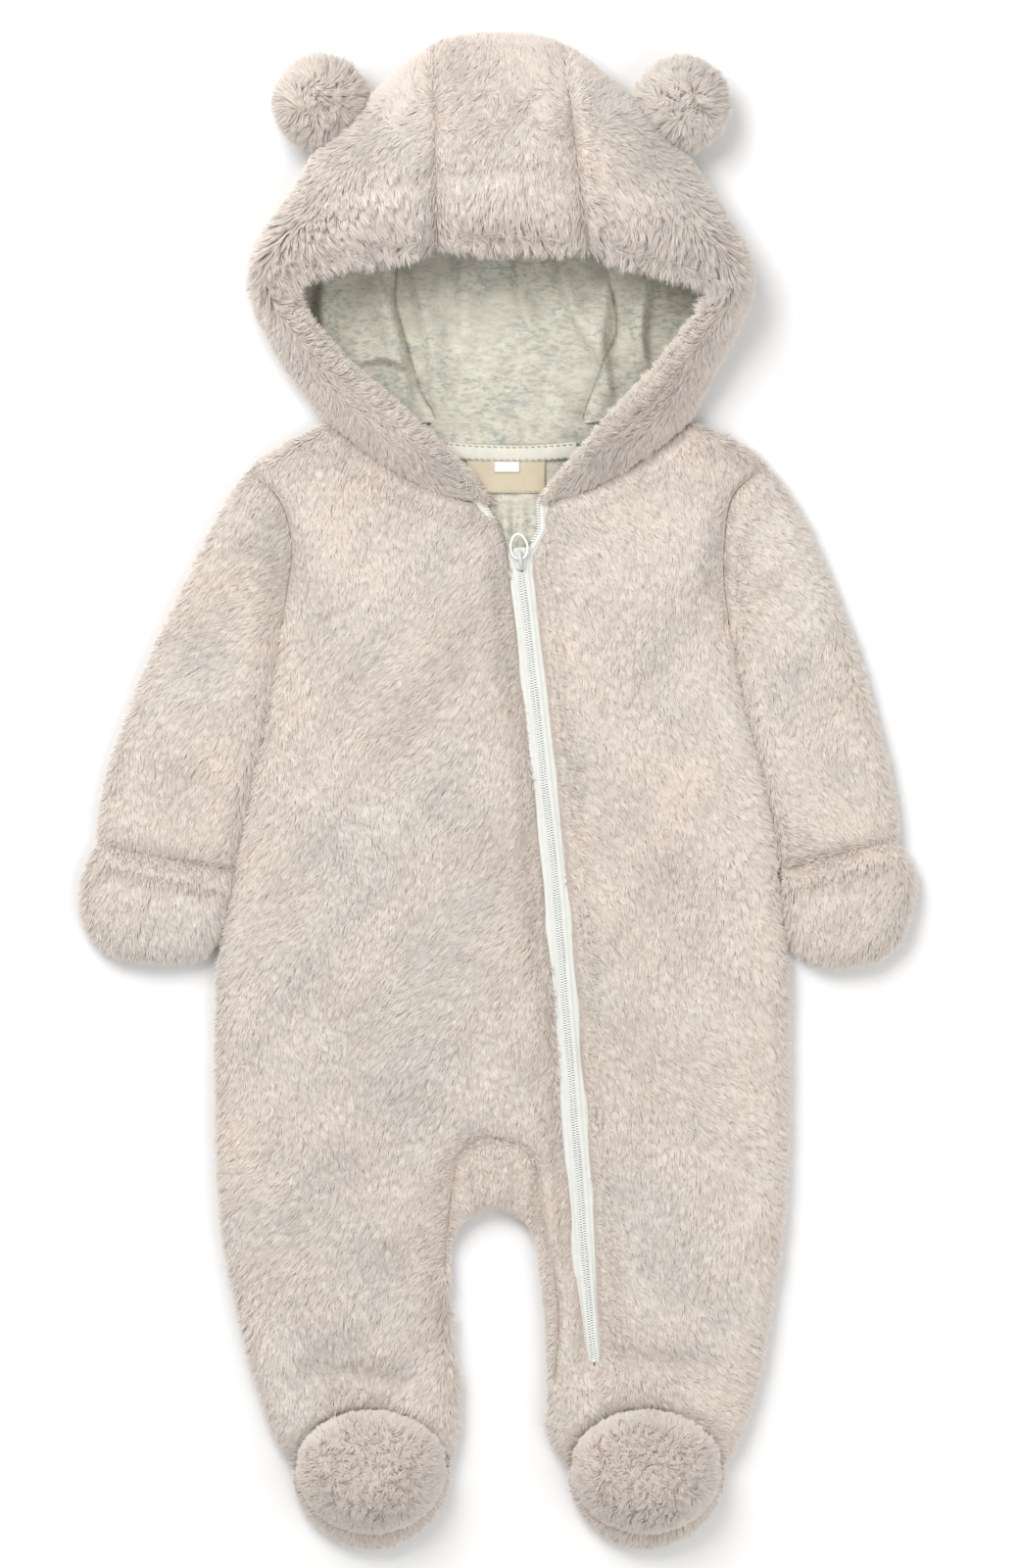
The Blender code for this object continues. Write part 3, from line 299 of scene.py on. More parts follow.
def make_outline():
    """The suit's outline from its left neck round both sleeves and both legs to its right neck."""

    def flank(side):
        """One side of it, from the neck down to the crotch."""
        trunk = TRUNK[:, SIDE_COLUMNS[side]]
        arm = np.array(SLEEVES[side])
        hand = np.array(MITTS[side])
        sleeve_out = np.vstack([trunk[SHOULDER_ROW], arm[:, :2]])
        sleeve_in = np.vstack([trunk[ARMPIT_ROW], arm[:, 2:]])
        mitt_out = np.vstack([arm[-1, :2], hand[:, :2]])
        mitt_in = np.vstack([arm[-1, 2:], hand[:, 2:]])
        end = bowed(hand[-1, :2], hand[-1, 2:], -HAND_BOW, 1.0, np.linspace(0, 1, 9)[1:-1])
        leg = np.array([row[:2] for row in LEGS[side]])
        foot = np.array([toe(side, angle) for angle in np.arange(8, 180, 8)])
        return np.vstack([
            curved(trunk[: SHOULDER_ROW + 1], 6), curved(sleeve_out, 6)[1:],
            curved(mitt_out, 5)[1:], end, curved(mitt_in, 5)[::-1], curved(sleeve_in, 6)[::-1][1:],
            curved(np.vstack([trunk[ARMPIT_ROW:], leg]), 6)[1:], foot,
            curved(np.array(INSEAMS[side]), 6)[::-1],
        ])

    crotch = np.array([on_arch(CROTCH_ARCH, angle) for angle in range(174, 0, -6)])
    return np.vstack([flank("left"), crotch, flank("right")[::-1]])


OUTLINE = make_outline()


def nearest(points, line):
    """The distance of each point from a line of points, and the way from the line to it."""
    points = points[:, : line.shape[1]]
    gap, away = np.empty(len(points)), np.empty_like(points)
    a, b = line[:-1], line[1:]
    span = b - a
    squared = np.maximum((span**2).sum(-1), 1e-12)
    for start in range(0, len(points), 3000):
        p = points[start : start + 3000, None]
        t = np.clip(((p - a) * span).sum(-1) / squared, 0, 1)[..., None]
        way = p - (a + span * t)
        far = np.linalg.norm(way, axis=-1)
        pick = far.argmin(1)
        each = np.arange(len(pick))
        gap[start : start + 3000] = far[each, pick]
        away[start : start + 3000] = way[each, pick]
    return gap, unit(away)


def gap_from(grid, line):
    """How far each point of a grid lies from a line of points."""
    return nearest(grid.reshape(-1, grid.shape[-1]), line)[0].reshape(grid.shape[:-1])


def shut(depth, reach):
    """How far a rounded edge has risen at this depth inside it: a quarter circle, from 0 to 1."""
    return np.sqrt(1 - (1 - np.minimum(depth / reach, 1)) ** 2)


# Soft troughs and ridges of the front, in plan. height under 0 is a trough; bow bends its middle
CREASES = (
    # from x, y, to x, y, bow, width, height
    (-149, 122, -112, 118, 4, 5, -3.2),
    (-158, 98, -120, 84, -3, 8, -1.8),
    (-172, 60, -128, 56, 3, 9, -1.4),
    (-190, 20, -138, 2, -4, 10, -1.6),
    (-124, 150, -108, 96, 5, 9, -2.4),
    (-112, 92, -82, 66, 3, 9, -1.7),
    (-96, 150, -60, 96, -6, 14, 1.6),
    (-104, 60, -74, 20, -4, 13, -1.3),
    (118, 150, 112, 92, -5, 9, -2.2),
    (150, 112, 122, 100, 3, 7, -2.2),
    (172, 66, 132, 50, -3, 9, -1.5),
    (190, 14, 146, -6, 3, 10, -1.6),
    (116, 90, 84, 70, -3, 9, -1.6),
    (100, 150, 62, 100, 6, 14, 1.5),
    (-52, 130, -36, 60, 5, 15, 1.0),
    (56, 128, 62, 40, -5, 15, 1.1),
    (-128, -40, -70, -52, 5, 14, -1.1),
    (126, -30, 76, -48, -4, 14, -1.0),
    (-120, -120, -50, -104, 6, 16, -0.9),
    (-30, -178, -86, -150, -6, 11, -1.9),
    (-32, -196, -104, -196, -5, 12, -1.5),
    (-30, -226, -92, -246, 4, 12, -1.6),
    (24, -180, 36, -150, 3, 9, -1.6),
    (58, -160, 112, -136, 5, 13, -1.2),
    (60, -226, 116, -236, -5, 13, -1.3),
    (-114, -299, -36, -304, 6, 9, -4.6),
    (-102, -284, -56, -268, -5, 7, -2.2),
    (-108, -318, -34, -320, 10, 7, 1.4),
    (40, -312, 114, -310, 10, 8, 2.2),
    (56, -294, 124, -297, 6, 9, -3.6),
)
WAVES = (
    # length x, length y, offset, height: slow unevenness over the whole front
    (71, 93, 0.4, 0.55),
    (-48, 63, 2.1, 0.45),
    (37, -55, 4.0, 0.35),
    (118, 41, 1.2, 0.4),
)


def beside_fold(x, y, from_x, from_y, to_x, to_y, bow):
    """How strong a bowed fold is at a place, and how far beside it that lies.

    It fades to both its ends like a half sine.
    """
    length = math.hypot(to_x - from_x, to_y - from_y)
    way_x, way_y = (to_x - from_x) / length, (to_y - from_y) / length
    u = ((x - from_x) * way_x + (y - from_y) * way_y) / length
    off = (y - from_y) * way_x - (x - from_x) * way_y - bow * 4 * u * (1 - u)
    return np.sin(math.pi * np.clip(u, 0, 1)) ** 0.7, off


def relief(plan):
    """How much the front's backing is lifted by creases, bell-shaped across, and slow waves."""
    x, y = plan[..., 0], plan[..., 1]
    lift = np.zeros(x.shape)
    for *line, width, height in CREASES:
        fade, off = beside_fold(x, y, *line)
        lift += height * fade * bell(off, width)
    for length_x, length_y, offset, height in WAVES:
        lift += height * np.sin(2 * math.pi * (x / length_x + y / length_y) + offset)
    return lift


def front_face(plan, seams=(), depth_of_seam=3.0):
    """Plan points raised to the front's backing: the rounded edge, the swell, creases and seams."""
    depth = gap_from(plan, OUTLINE)
    rise = shut(depth, EDGE_REACH)
    seam = MIDDLE + PARTING
    z = seam + (TOP - seam) * rise + PUFF * (1 - np.exp(-depth / PUFF_REACH))
    z += relief(plan) * np.minimum(rise, 1) * (1 - np.exp(-depth / 9))
    for line in seams:
        z -= depth_of_seam * rise * bell(gap_from(plan, line), SEAM_WIDTH)
    return np.concatenate([plan, z[..., None]], axis=-1)


def back_face(plan):
    """Plan points lowered to the back's backing, which is flat where it rests."""
    seam = MIDDLE - PARTING
    z = seam + (FLOOR_GAP - seam) * shut(gap_from(plan, OUTLINE), EDGE_REACH)
    return np.concatenate([plan, z[..., None]], axis=-1)


def zip_x(y, hand=0):
    """The x of the zip's line at y, or of the front's left (-1) or right (1) edge beside it."""
    return np.interp(y, ZIP[:, 0], ZIP[:, 1] + hand * ZIP[:, 2])


def crossing(row, hand):
    """Where a row crosses the front's edge at the zip, from 0 at its start to 1 at its end."""
    s = np.linspace(0, 1, 801)
    points = row(s)
    past = points[:, 0] - zip_x(points[:, 1], hand)
    k = np.flatnonzero(past[:-1] * past[1:] <= 0)[0]
    return s[k] + (s[k + 1] - s[k]) * past[k] / (past[k] - past[k + 1])


def trunk_row(row, dip_share=1.0):
    """One row of the trunk as a function of s, from the left side at 0 to the right side at 1."""
    return lambda s: bowed(row[:2], row[2:4], -row[4] * dip_share, 1.0, s)


def leg_row(side, k, rise=None):
    """One row of a leg as a function of s, from its outer end at 0 to its inner end at 1."""
    outer, inner = leg_ends(side, k)
    bow = LEGS[side][k][4] if rise is None else rise
    return lambda s: bowed(outer, inner, bow, 0.5 if rise is None else 1.0, s)


# Marks across a row of cloth, closer at the edges, where it is rounded
EDGE_MARKS = np.array((0, 0.006, 0.018, 0.038, 0.065, 0.1))
ACROSS = np.concatenate([EDGE_MARKS, np.linspace(0.14, 0.86, 19), 1 - EDGE_MARKS[::-1]])
HALF_ACROSS = np.concatenate([EDGE_MARKS * 2, np.linspace(0.26, 1, 12)])


def between(low, high, marks):
    """Marks from 0 to 1 as places between low and high."""
    return low + (high - low) * np.asarray(marks, float)


CORNERS = (SHOULDER_ROW, ARMPIT_ROW)


def side_by_side(parts, gap, corners=CORNERS):
    """Grids that are curved together, so that they keep the same rows."""
    joined = curved(np.concatenate(parts, axis=1), gap, corners)
    return np.split(joined, np.cumsum([np.shape(part)[1] for part in parts])[:-1], axis=1)


def front_plans():
    """The plan grids of the front's outer, inner and right parts."""
    outer_part, inner_part, right_part = [], [], []
    for k, row in enumerate(TRUNK):
        curve = trunk_row(row)
        divide = DIVIDE_TOP + (DIVIDE_FOOT - DIVIDE_TOP) * k / (len(TRUNK) - 1)
        left_edge, right_edge = crossing(curve, -1), crossing(curve, 1)
        outer_part.append(curve(between(0, divide, ACROSS)))
        inner_part.append(curve(between(divide, left_edge, HALF_ACROSS)))
        right_part.append(curve(between(1, right_edge, ACROSS)))
    for k in range(len(LEGS["left"])):
        outer_part.append(leg_row("left", k)(ACROSS))
        curve = leg_row("right", k)
        left_edge, right_edge = crossing(curve, -1), crossing(curve, 1)
        inner_part.append(curve(between(1, left_edge, HALF_ACROSS)))
        right_part.append(curve(between(0, right_edge, ACROSS)))
    return side_by_side([outer_part, inner_part, right_part], 4.5)


def back_plans():
    """The plan grids of the back's left and right halves, down to the heels."""
    halves = [[], []]
    for k, row in enumerate(TRUNK):
        curve = trunk_row(row, BACK_DIP)
        divide = BACK_DIVIDE_TOP + (DIVIDE_FOOT - BACK_DIVIDE_TOP) * k / (len(TRUNK) - 1)
        for half, end in zip(halves, (0, 1)):
            half.append(curve(between(end, divide, ACROSS)))
    for k in range(HEEL_ROW + 1):
        rise = -HEEL_DROP if k == HEEL_ROW else None
        for half, side in zip(halves, HANDS):
            half.append(leg_row(side, k, rise)(ACROSS))
    return side_by_side(halves, 7.0)


def resample(line, marks):
    """The points of a line at marks from 0 to 1 of its length."""
    walk = walked(line)
    return np.stack([np.interp(marks, walk / walk[-1], line[:, k]) for k in range(line.shape[1])], 1)


def two_faces(plan, seams, depth_of_seam=3.0):
    """A flattened tube over a plan grid: its upper and its under face, which share both edges."""
    upper, under = front_face(plan, seams, depth_of_seam), back_face(plan)
    for face in (upper, under):
        face[:, (0, -1), 2] = MIDDLE
    return upper, under


UP, DOWN = np.array((0.0, 0, 1)), np.array((0.0, 0, -1))


def crossed(points, faces):
    """Each triangle's normal, as long as twice its area."""
    a, b, c = (points[faces[:, k]] for k in range(3))
    return np.cross(b - a, c - a)


def outward(points, faces, ways):
    """The triangles, turned round if they face against the ways that they should."""
    return faces[:, ::-1] if (crossed(points, faces) * ways).sum() < 0 else faces


def weld(patches):
    """Points and outward triangles of grids that share the points where they meet.

    Each patch is a grid and the way that it faces, as one vector or one for each of its points.
    """
    points, faces, start = [], [], 0
    for grid, facing in patches:
        ids = np.arange(grid[..., 0].size).reshape(grid.shape[:2])
        a, b, c, d = ids[:-1, :-1], ids[:-1, 1:], ids[1:, 1:], ids[1:, :-1]
        made = np.stack([a, b, c, a, c, d], -1).reshape(-1, 3)
        flat, ways = (np.broadcast_to(each, grid.shape).reshape(-1, 3) for each in (grid, facing))
        points.append(flat)
        faces.append(start + outward(flat, made, ways[made[:, 0]]))
        start += len(flat)
    points, faces = np.concatenate(points), np.concatenate(faces)
    _, first, index = np.unique(
        np.round(points, 2) + 0.0, axis=0, return_index=True, return_inverse=True
    )
    faces = index.reshape(-1)[faces]
    whole = (faces[:, 0] != faces[:, 1]) & (faces[:, 1] != faces[:, 2]) & (faces[:, 0] != faces[:, 2])
    faces = faces[whole]
    _, once, times = np.unique(np.sort(faces, 1), axis=0, return_index=True, return_counts=True)
    return points[first], faces[np.sort(once[times == 1])]


def point_normals(points, faces):
    """The outward normal at each point: the mean of its triangles', weighted by their area."""
    normal = crossed(points, faces)
    total = np.zeros_like(points)
    for k in range(3):
        np.add.at(total, faces[:, k], normal)
    return unit(total)


def add_object(name, data):
    """A new object in the scene."""
    made = bpy.data.objects.new(name, data)
    bpy.context.scene.collection.objects.link(made)
    return made


def new_piece(name, points, faces, material, nodes=(), body="suit"):
    """A mesh object from points in millimetres, riding on a body, standing for nodes."""
    mesh = bpy.data.meshes.new(name)
    mesh.vertices.add(len(points))
    mesh.vertices.foreach_set("co", (np.asarray(points, np.float32) * MM).ravel())
    width = faces.shape[1]
    mesh.loops.add(faces.size)
    mesh.loops.foreach_set("vertex_index", faces.astype(np.int32).ravel())
    mesh.polygons.add(len(faces))
    mesh.polygons.foreach_set("loop_start", np.arange(0, faces.size, width, dtype=np.int32))
    mesh.update(calc_edges=True)
    mesh.shade_smooth()
    mesh.materials.append(material)
    made = add_object(name, mesh)
    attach(made, body)
    if nodes:
        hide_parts(*nodes)
    return made


# ---------------------------------------------------------------- finishes


def put(tree, kind, sockets=None, **settings):
    """A new shader node with its settings, and its sockets set to values or linked to others."""
    made = tree.nodes.new("ShaderNode" + kind)
    for key, value in settings.items():
        setattr(made, key, value)
    for key, value in (sockets or {}).items():
        if isinstance(value, bpy.types.NodeSocket):
            tree.links.new(value, made.inputs[key])
        else:
            made.inputs[key].default_value = value
    return made


def noise(tree, place, scale, detail=2.0, roughness=0.5):
    """Noise of a size and a fineness, from 0 to 1."""
    sockets = {"Vector": place, "Scale": scale, "Detail": detail, "Roughness": roughness}
    return put(tree, "TexNoise", sockets).outputs["Fac"]


def shift(tree, factor, low, high, way="MIX"):
    """A colour between two others, or one laid on the other in another way."""
    made = put(tree, "Mix", {0: factor, 6: low, 7: high}, data_type="RGBA", blend_type=way)
    return made.outputs[2]


def times(tree, colour, shade):
    """A colour multiplied by another or by a grey level."""
    return shift(tree, 1.0, colour, shade, "MULTIPLY")


def sums(tree, kind, a, b=0.0, c=0.0):
    """One step of arithmetic."""
    return put(tree, "Math", {0: a, 1: b, 2: c}, operation=kind).outputs[0]


def steps(tree, factor, *stops):
    """A ramp through grey levels or colours, each at its place from 0 to 1."""
    made = put(tree, "ValToRGB", {"Fac": factor})
    ramp = made.color_ramp
    for k, (place, level) in enumerate(stops):
        stop = ramp.elements[k] if k < 2 else ramp.elements.new(place)
        stop.position = place
        stop.color = level if isinstance(level, tuple) else (level, level, level, 1)
    return made.outputs["Color"]


def new_group(name, inputs, outputs):
    """A shader node group with named sockets, and its two end nodes."""
    tree = bpy.data.node_groups.new(name, "ShaderNodeTree")
    for label, kind, value in inputs:
        socket = tree.interface.new_socket(label, in_out="INPUT", socket_type="NodeSocket" + kind)
        if value is not None:
            socket.default_value = value
    for label, kind in outputs:
        tree.interface.new_socket(label, in_out="OUTPUT", socket_type="NodeSocket" + kind)
    return tree, tree.nodes.new("NodeGroupInput").outputs, tree.nodes.new("NodeGroupOutput").inputs


def make_dye_group():
    """Dye that took unevenly: a colour tinted in patches of two sizes."""
    tree, start, end = new_group(
        "dye", [("Colour", "Color", None), ("Place", "Vector", None), ("Amount", "Float", 1.0)],
        [("Colour", "Color")],
    )
    colour = start["Colour"]
    for scale, detail, low, high, tint in (
        (17.0, 2.0, 0.36, 0.66, (1.02, 0.985, 0.965, 1)),
        (95.0, 1.0, 0.4, 0.72, (0.965, 0.957, 0.952, 1)),
    ):
        patches = steps(tree, noise(tree, start["Place"], scale, detail), (low, 0.0), (high, 1.0))
        share = sums(tree, "MULTIPLY", patches, start["Amount"])
        colour = shift(tree, share, colour, tint, "MULTIPLY")
    tree.links.new(colour, end["Colour"])
    return tree


def make_weave_group():
    """A plain weave: threads each way, over and under by turns, as a height and as a shade."""
    tree, start, end = new_group(
        "weave", [("Place", "Vector", None), ("Threads", "Float", 2000.0)],
        [("Height", "Float"), ("Shade", "Float")],
    )
    split = put(tree, "SeparateXYZ", {"Vector": start["Place"]})
    turns = sums(tree, "MULTIPLY", start["Threads"], math.pi)
    across = sums(tree, "SINE", sums(tree, "MULTIPLY", split.outputs["X"], turns))
    along = sums(tree, "SINE", sums(tree, "MULTIPLY", split.outputs["Y"], turns))
    over = sums(tree, "MULTIPLY", across, along)
    height = sums(tree, "MULTIPLY_ADD", over, 0.35, noise(tree, start["Place"], 900.0))
    tree.links.new(height, end["Height"])
    tree.links.new(sums(tree, "MULTIPLY_ADD", over, 0.06, 0.94), end["Shade"])
    return tree


DYE, WEAVE = make_dye_group(), make_weave_group()


def placed(tree, group, **sockets):
    """A group set into a material, with its own values."""
    return put(tree, "Group", sockets, node_tree=group).outputs


def new_finish(name, **sockets):
    """A material, its tree, its shader and the place on the object that its patterns read."""
    made = bpy.data.materials.new(name)
    made.use_nodes = True
    tree = made.node_tree
    shader = tree.nodes["Principled BSDF"]
    for key, value in sockets.items():
        shader.inputs[key.replace("_", " ")].default_value = value
    place = put(tree, "TexCoord").outputs["Object"]
    return made, tree, shader.inputs, place


def bumped(tree, shader, height, strength, depth):
    """Relief from a height, which is depth at one."""
    bump = put(tree, "Bump", {"Height": height, "Strength": strength, "Distance": depth * MM})
    tree.links.new(bump.outputs["Normal"], shader["Normal"])


def make_nap_finish():
    """The nap's leaves: painted shade darkens them towards their roots, where the pile shades itself, and
    each tuft has a tone of its own that also carries painted light and shade.
    """
    made, tree, shader, place = new_finish(
        "plush nap", Roughness=0.92, Sheen_Weight=0.6, Sheen_Roughness=0.5, Specular_IOR_Level=0.2
    )
    strand = put(tree, "SeparateXYZ", {"Vector": put(tree, "UVMap", uv_map="strand").outputs["UV"]})
    # Painted shade towards the roots, where the pile shades itself.
    along = steps(
        tree, strand.outputs["Y"], (0.0, (0.54, 0.46, 0.405, 1)), (0.42, (0.75, 0.678, 0.613, 1)),
        (1.0, (0.86, 0.792, 0.732, 1)),
    )
    # The tone holds random tone and the painted light, shade and sheen put into it by strands and
    # painted_sheen.
    tone = steps(tree, strand.outputs["X"], (0.0, 0.80), (0.5, 0.955), (1.0, 1.05))
    dyed = placed(tree, DYE, Colour=times(tree, along, tone), Place=place, Amount=0.6)
    tree.links.new(dyed["Colour"], shader["Base Color"])
    return made


def make_backing_finish(name, colour):
    """The knitted ground that the nap grows from, seen only between the tufts; its colour is darkened like
    the nap's roots, as painted shade of the gaps.
    """
    made, tree, shader, place = new_finish(name, Roughness=0.95)
    fine = noise(tree, place, 700.0, 3.0)
    toned = times(tree, colour, steps(tree, fine, (0.3, 0.72), (0.7, 1.0)))
    tree.links.new(placed(tree, DYE, Colour=toned, Place=place)["Colour"], shader["Base Color"])
    bumped(tree, shader, fine, 0.6, 0.8)
    return made


def make_jersey_finish():
    """The heather jersey: a cream knit with short level flecks of grey-blue and grey-green."""
    made, tree, shader, place = new_finish("heather jersey", Roughness=0.88, Sheen_Weight=0.1)
    level = put(tree, "Mapping", {"Vector": place, "Scale": (0.45, 1.0, 0.7)}).outputs[0]
    fleck = noise(tree, level, 520.0, 3.0, 0.65)
    hue = steps(
        tree, noise(tree, level, 260.0, 1.0), (0.36, (0.40, 0.415, 0.37, 1)),
        (0.5, (0.51, 0.495, 0.41, 1)), (0.64, (0.38, 0.425, 0.41, 1)),
    )
    crowd = steps(tree, noise(tree, level, 60.0), (0.36, 0.35), (0.6, 1.0))
    where = sums(tree, "MULTIPLY", steps(tree, fleck, (0.46, 0.0), (0.60, 0.95)), crowd)
    colour = shift(tree, where, (0.665, 0.635, 0.535, 1), hue)
    colour = times(tree, colour, steps(tree, noise(tree, place, 22.0), (0.35, 0.90), (0.65, 1.02)))
    cloud = steps(tree, noise(tree, level, 190.0, 4.0, 0.7), (0.36, 0.86), (0.62, 1.05))
    tree.links.new(times(tree, colour, cloud), shader["Base Color"])
    split = put(tree, "SeparateXYZ", {"Vector": place}).outputs
    rib, loop = (
        sums(tree, "SINE", sums(tree, "MULTIPLY", split[axis], 2 * math.pi / (pitch * MM)))
        for axis, pitch in (("X", 1.1), ("Y", 0.8))
    )
    knit = sums(tree, "MULTIPLY_ADD", rib, 0.5, sums(tree, "MULTIPLY", loop, 0.3))
    bumped(tree, shader, sums(tree, "ADD", knit, fleck), 0.35, 0.25)
    return made


def make_woven_finish(name, colour, threads, roughness=0.75, depth=0.2):
    """A woven trim: its tape, its label or its tab."""
    made, tree, shader, place = new_finish(name, Roughness=roughness)
    weave = placed(tree, WEAVE, Place=place, Threads=threads)
    wear = steps(tree, noise(tree, place, 180.0, 3.0), (0.3, 0.93), (0.7, 1.0))
    tree.links.new(times(tree, times(tree, colour, wear), weave["Shade"]), shader["Base Color"])
    bumped(tree, shader, weave["Height"], 0.5, depth)
    return made


def make_plastic_finish(name, colour, roughness, coat):
    """Moulded plastic, with the faint unevenness of its mould."""
    made, tree, shader, place = new_finish(name, Coat_Weight=coat, Coat_Roughness=0.12)
    fine = noise(tree, place, 420.0, 3.0)
    shade = steps(tree, fine, (0.3, 0.95), (0.7, 1.0))
    tree.links.new(times(tree, colour, shade), shader["Base Color"])
    rough = steps(tree, fine, (0.3, roughness - 0.05), (0.7, roughness + 0.08))
    tree.links.new(rough, shader["Roughness"])
    bumped(tree, shader, fine, 0.15, 0.1)
    return made


NAP = make_nap_finish()
# Darker than the nap: painted shade of the gaps between the tufts.
BACKING = make_backing_finish("plush backing", (0.60, 0.525, 0.47, 1))
JERSEY = make_jersey_finish()
TAPE = make_woven_finish("zip tape weave", (0.83, 0.845, 0.80, 1), 1800.0, 0.6)
LABEL = make_woven_finish("label weave", (0.655, 0.565, 0.415, 1), 2600.0, 0.7, 0.12)
TAB = make_woven_finish("tab weave", (0.88, 0.88, 0.86, 1), 3000.0, 0.6, 0.1)
BAND = make_woven_finish("neck band", (0.76, 0.74, 0.65, 1), 1500.0)
THREAD = make_woven_finish("sewing thread", (0.58, 0.54, 0.44, 1), 4000.0, 0.6, 0.08)
MOULDING = make_plastic_finish("slider moulding", (0.70, 0.715, 0.67, 1), 0.4, 0.1)
PLASTIC = make_plastic_finish("zip plastic", (0.88, 0.895, 0.86, 1), 0.34, 0.1)
ENAMEL = make_plastic_finish("ring enamel", (0.93, 0.93, 0.90, 1), 0.22, 0.5)


# ---------------------------------------------------------------- the nap


CLUMP = 2.5  # how far apart the tufts stand
LEAF_WIDTH = 0.8  # at its root
TUFT_LIFT, TUFT_TURN = math.radians(10), math.radians(38)  # how much the tufts differ in both
STRAY, ROLL = 0.34, 0.22  # how much single leaves are turned and rolled, in radians
LONG_LEAF = 8.6  # leaves longer than this draw together more
# A leaf's corners in its own cell of the map that its colour is baked into
LEAF_IN_CELL = np.array(((0.2, 0.2), (0.8, 0.2), (0.5, 0.8)))


def chance(keys, salt):
    """A number from 0 to 1 for each whole number: the same each time, but without any order."""
    mixed = keys.astype(np.uint64) * np.uint64(0x9E3779B97F4A7C15)
    mixed += np.uint64(salt * 0x2545F4914F6CDD1D % 2**64)
    mixed ^= mixed >> np.uint64(29)
    mixed *= np.uint64(0xBF58476D1CE4E5B9)
    mixed ^= mixed >> np.uint64(32)
    return (mixed >> np.uint64(11)).astype(float) / 2**53


def tufts(roots):
    """The number of each root's tuft: the nearest of points set unevenly, one in each small cube."""
    cell = np.floor(roots / CLUMP).astype(np.int64)
    best = np.full(len(roots), np.inf)
    owner = np.zeros(len(roots), np.int64)
    for step in itertools.product((-1, 0, 1), repeat=3):
        near = cell + step
        key = (near * (73856093, 19349663, 83492791)).sum(1)
        centre = near + np.stack([chance(key, salt) for salt in (1, 2, 3)], 1)
        gap = ((roots / CLUMP - centre) ** 2).sum(1)
        closer = gap < best
        best[closer], owner[closer] = gap[closer], key[closer]
    return np.unique(owner, return_inverse=True)


def turned(ways, up, angle):
    """Directions turned about their own upward direction by an angle."""
    return ways * np.cos(angle)[:, None] + np.cross(up, ways) * np.sin(angle)[:, None]


def level_with(ways, up):
    """The part of each direction that lies along the surface, at a length of one."""
    return unit(ways - (ways * up).sum(1, keepdims=True) * up)


def painted_sheen(points):
    """Painted sheen: how much lighter the nap's tone is painted for the way that it was last combed, in
    slow patches, where combed nap catches the light.
    """
    x, y = points[:, 0], points[:, 1]
    return (
        np.sin(x / 13 + 1.6 * np.sin(y / 21 + 0.6)) * 0.6 + np.sin(y / 17 - 1.2 * np.sin(x / 24)) * 0.5
    )


def spread(points, faces, share, density, rng):
    """Places spread evenly over a cloth: each one's triangle, and the weights of its corners."""
    total = np.cumsum(np.linalg.norm(crossed(points, faces), axis=1) / 2 * share[faces].mean(1))
    count = int(total[-1] * density)
    pick = np.searchsorted(total, (np.arange(count) + rng.random(count)) / count * total[-1])
    u, v = rng.random((2, count))
    past = u + v > 1
    u[past], v[past] = 1 - u[past], 1 - v[past]
    return faces[np.minimum(pick, len(faces) - 1)], np.stack([1 - u - v, u, v], 1)[..., None]


def mapped(mesh, name, corners):
    """A map of the mesh, from a place for each of its corners."""
    mesh.uv_layers.new(name=name).uv.foreach_set("vector", corners.astype(np.float32).ravel())


def strands(tone, root, upward, rim, share):
    """Each leaf's tone, and at its three corners how far along the leaf they are.

    Light and shade are painted into the tone: painted light on steep sides, near the suit's outline below
    the hood and on raised folds, and painted shade in creases and in the seams. On steep sides the roots
    are painted as light as the leaves' middles.
    """
    # Painted light and shade: lighter on steep sides and near the outline, lighter on raised folds and
    # darker in creases, darker in the seams.
    edge = np.clip(0.85 - upward, 0, 1)
    tone += 0.7 * edge + 0.4 * rim
    tone += 0.17 * np.clip(relief(root), -2.5, 2.5) * (upward > 0)
    tone -= 0.42 * np.clip(1 - share, 0, 1) * (upward > 0.3)
    made = np.zeros((len(tone), 3, 2), np.float32)
    made[..., 0] = np.clip(tone, 0.01, 0.99)[:, None]
    # Painted light: on steep sides the roots are as light as the leaves' middles.
    made[:, :2, 1] = np.minimum(edge, 0.7)[:, None]
    made[:, 2, 1] = 1
    return made


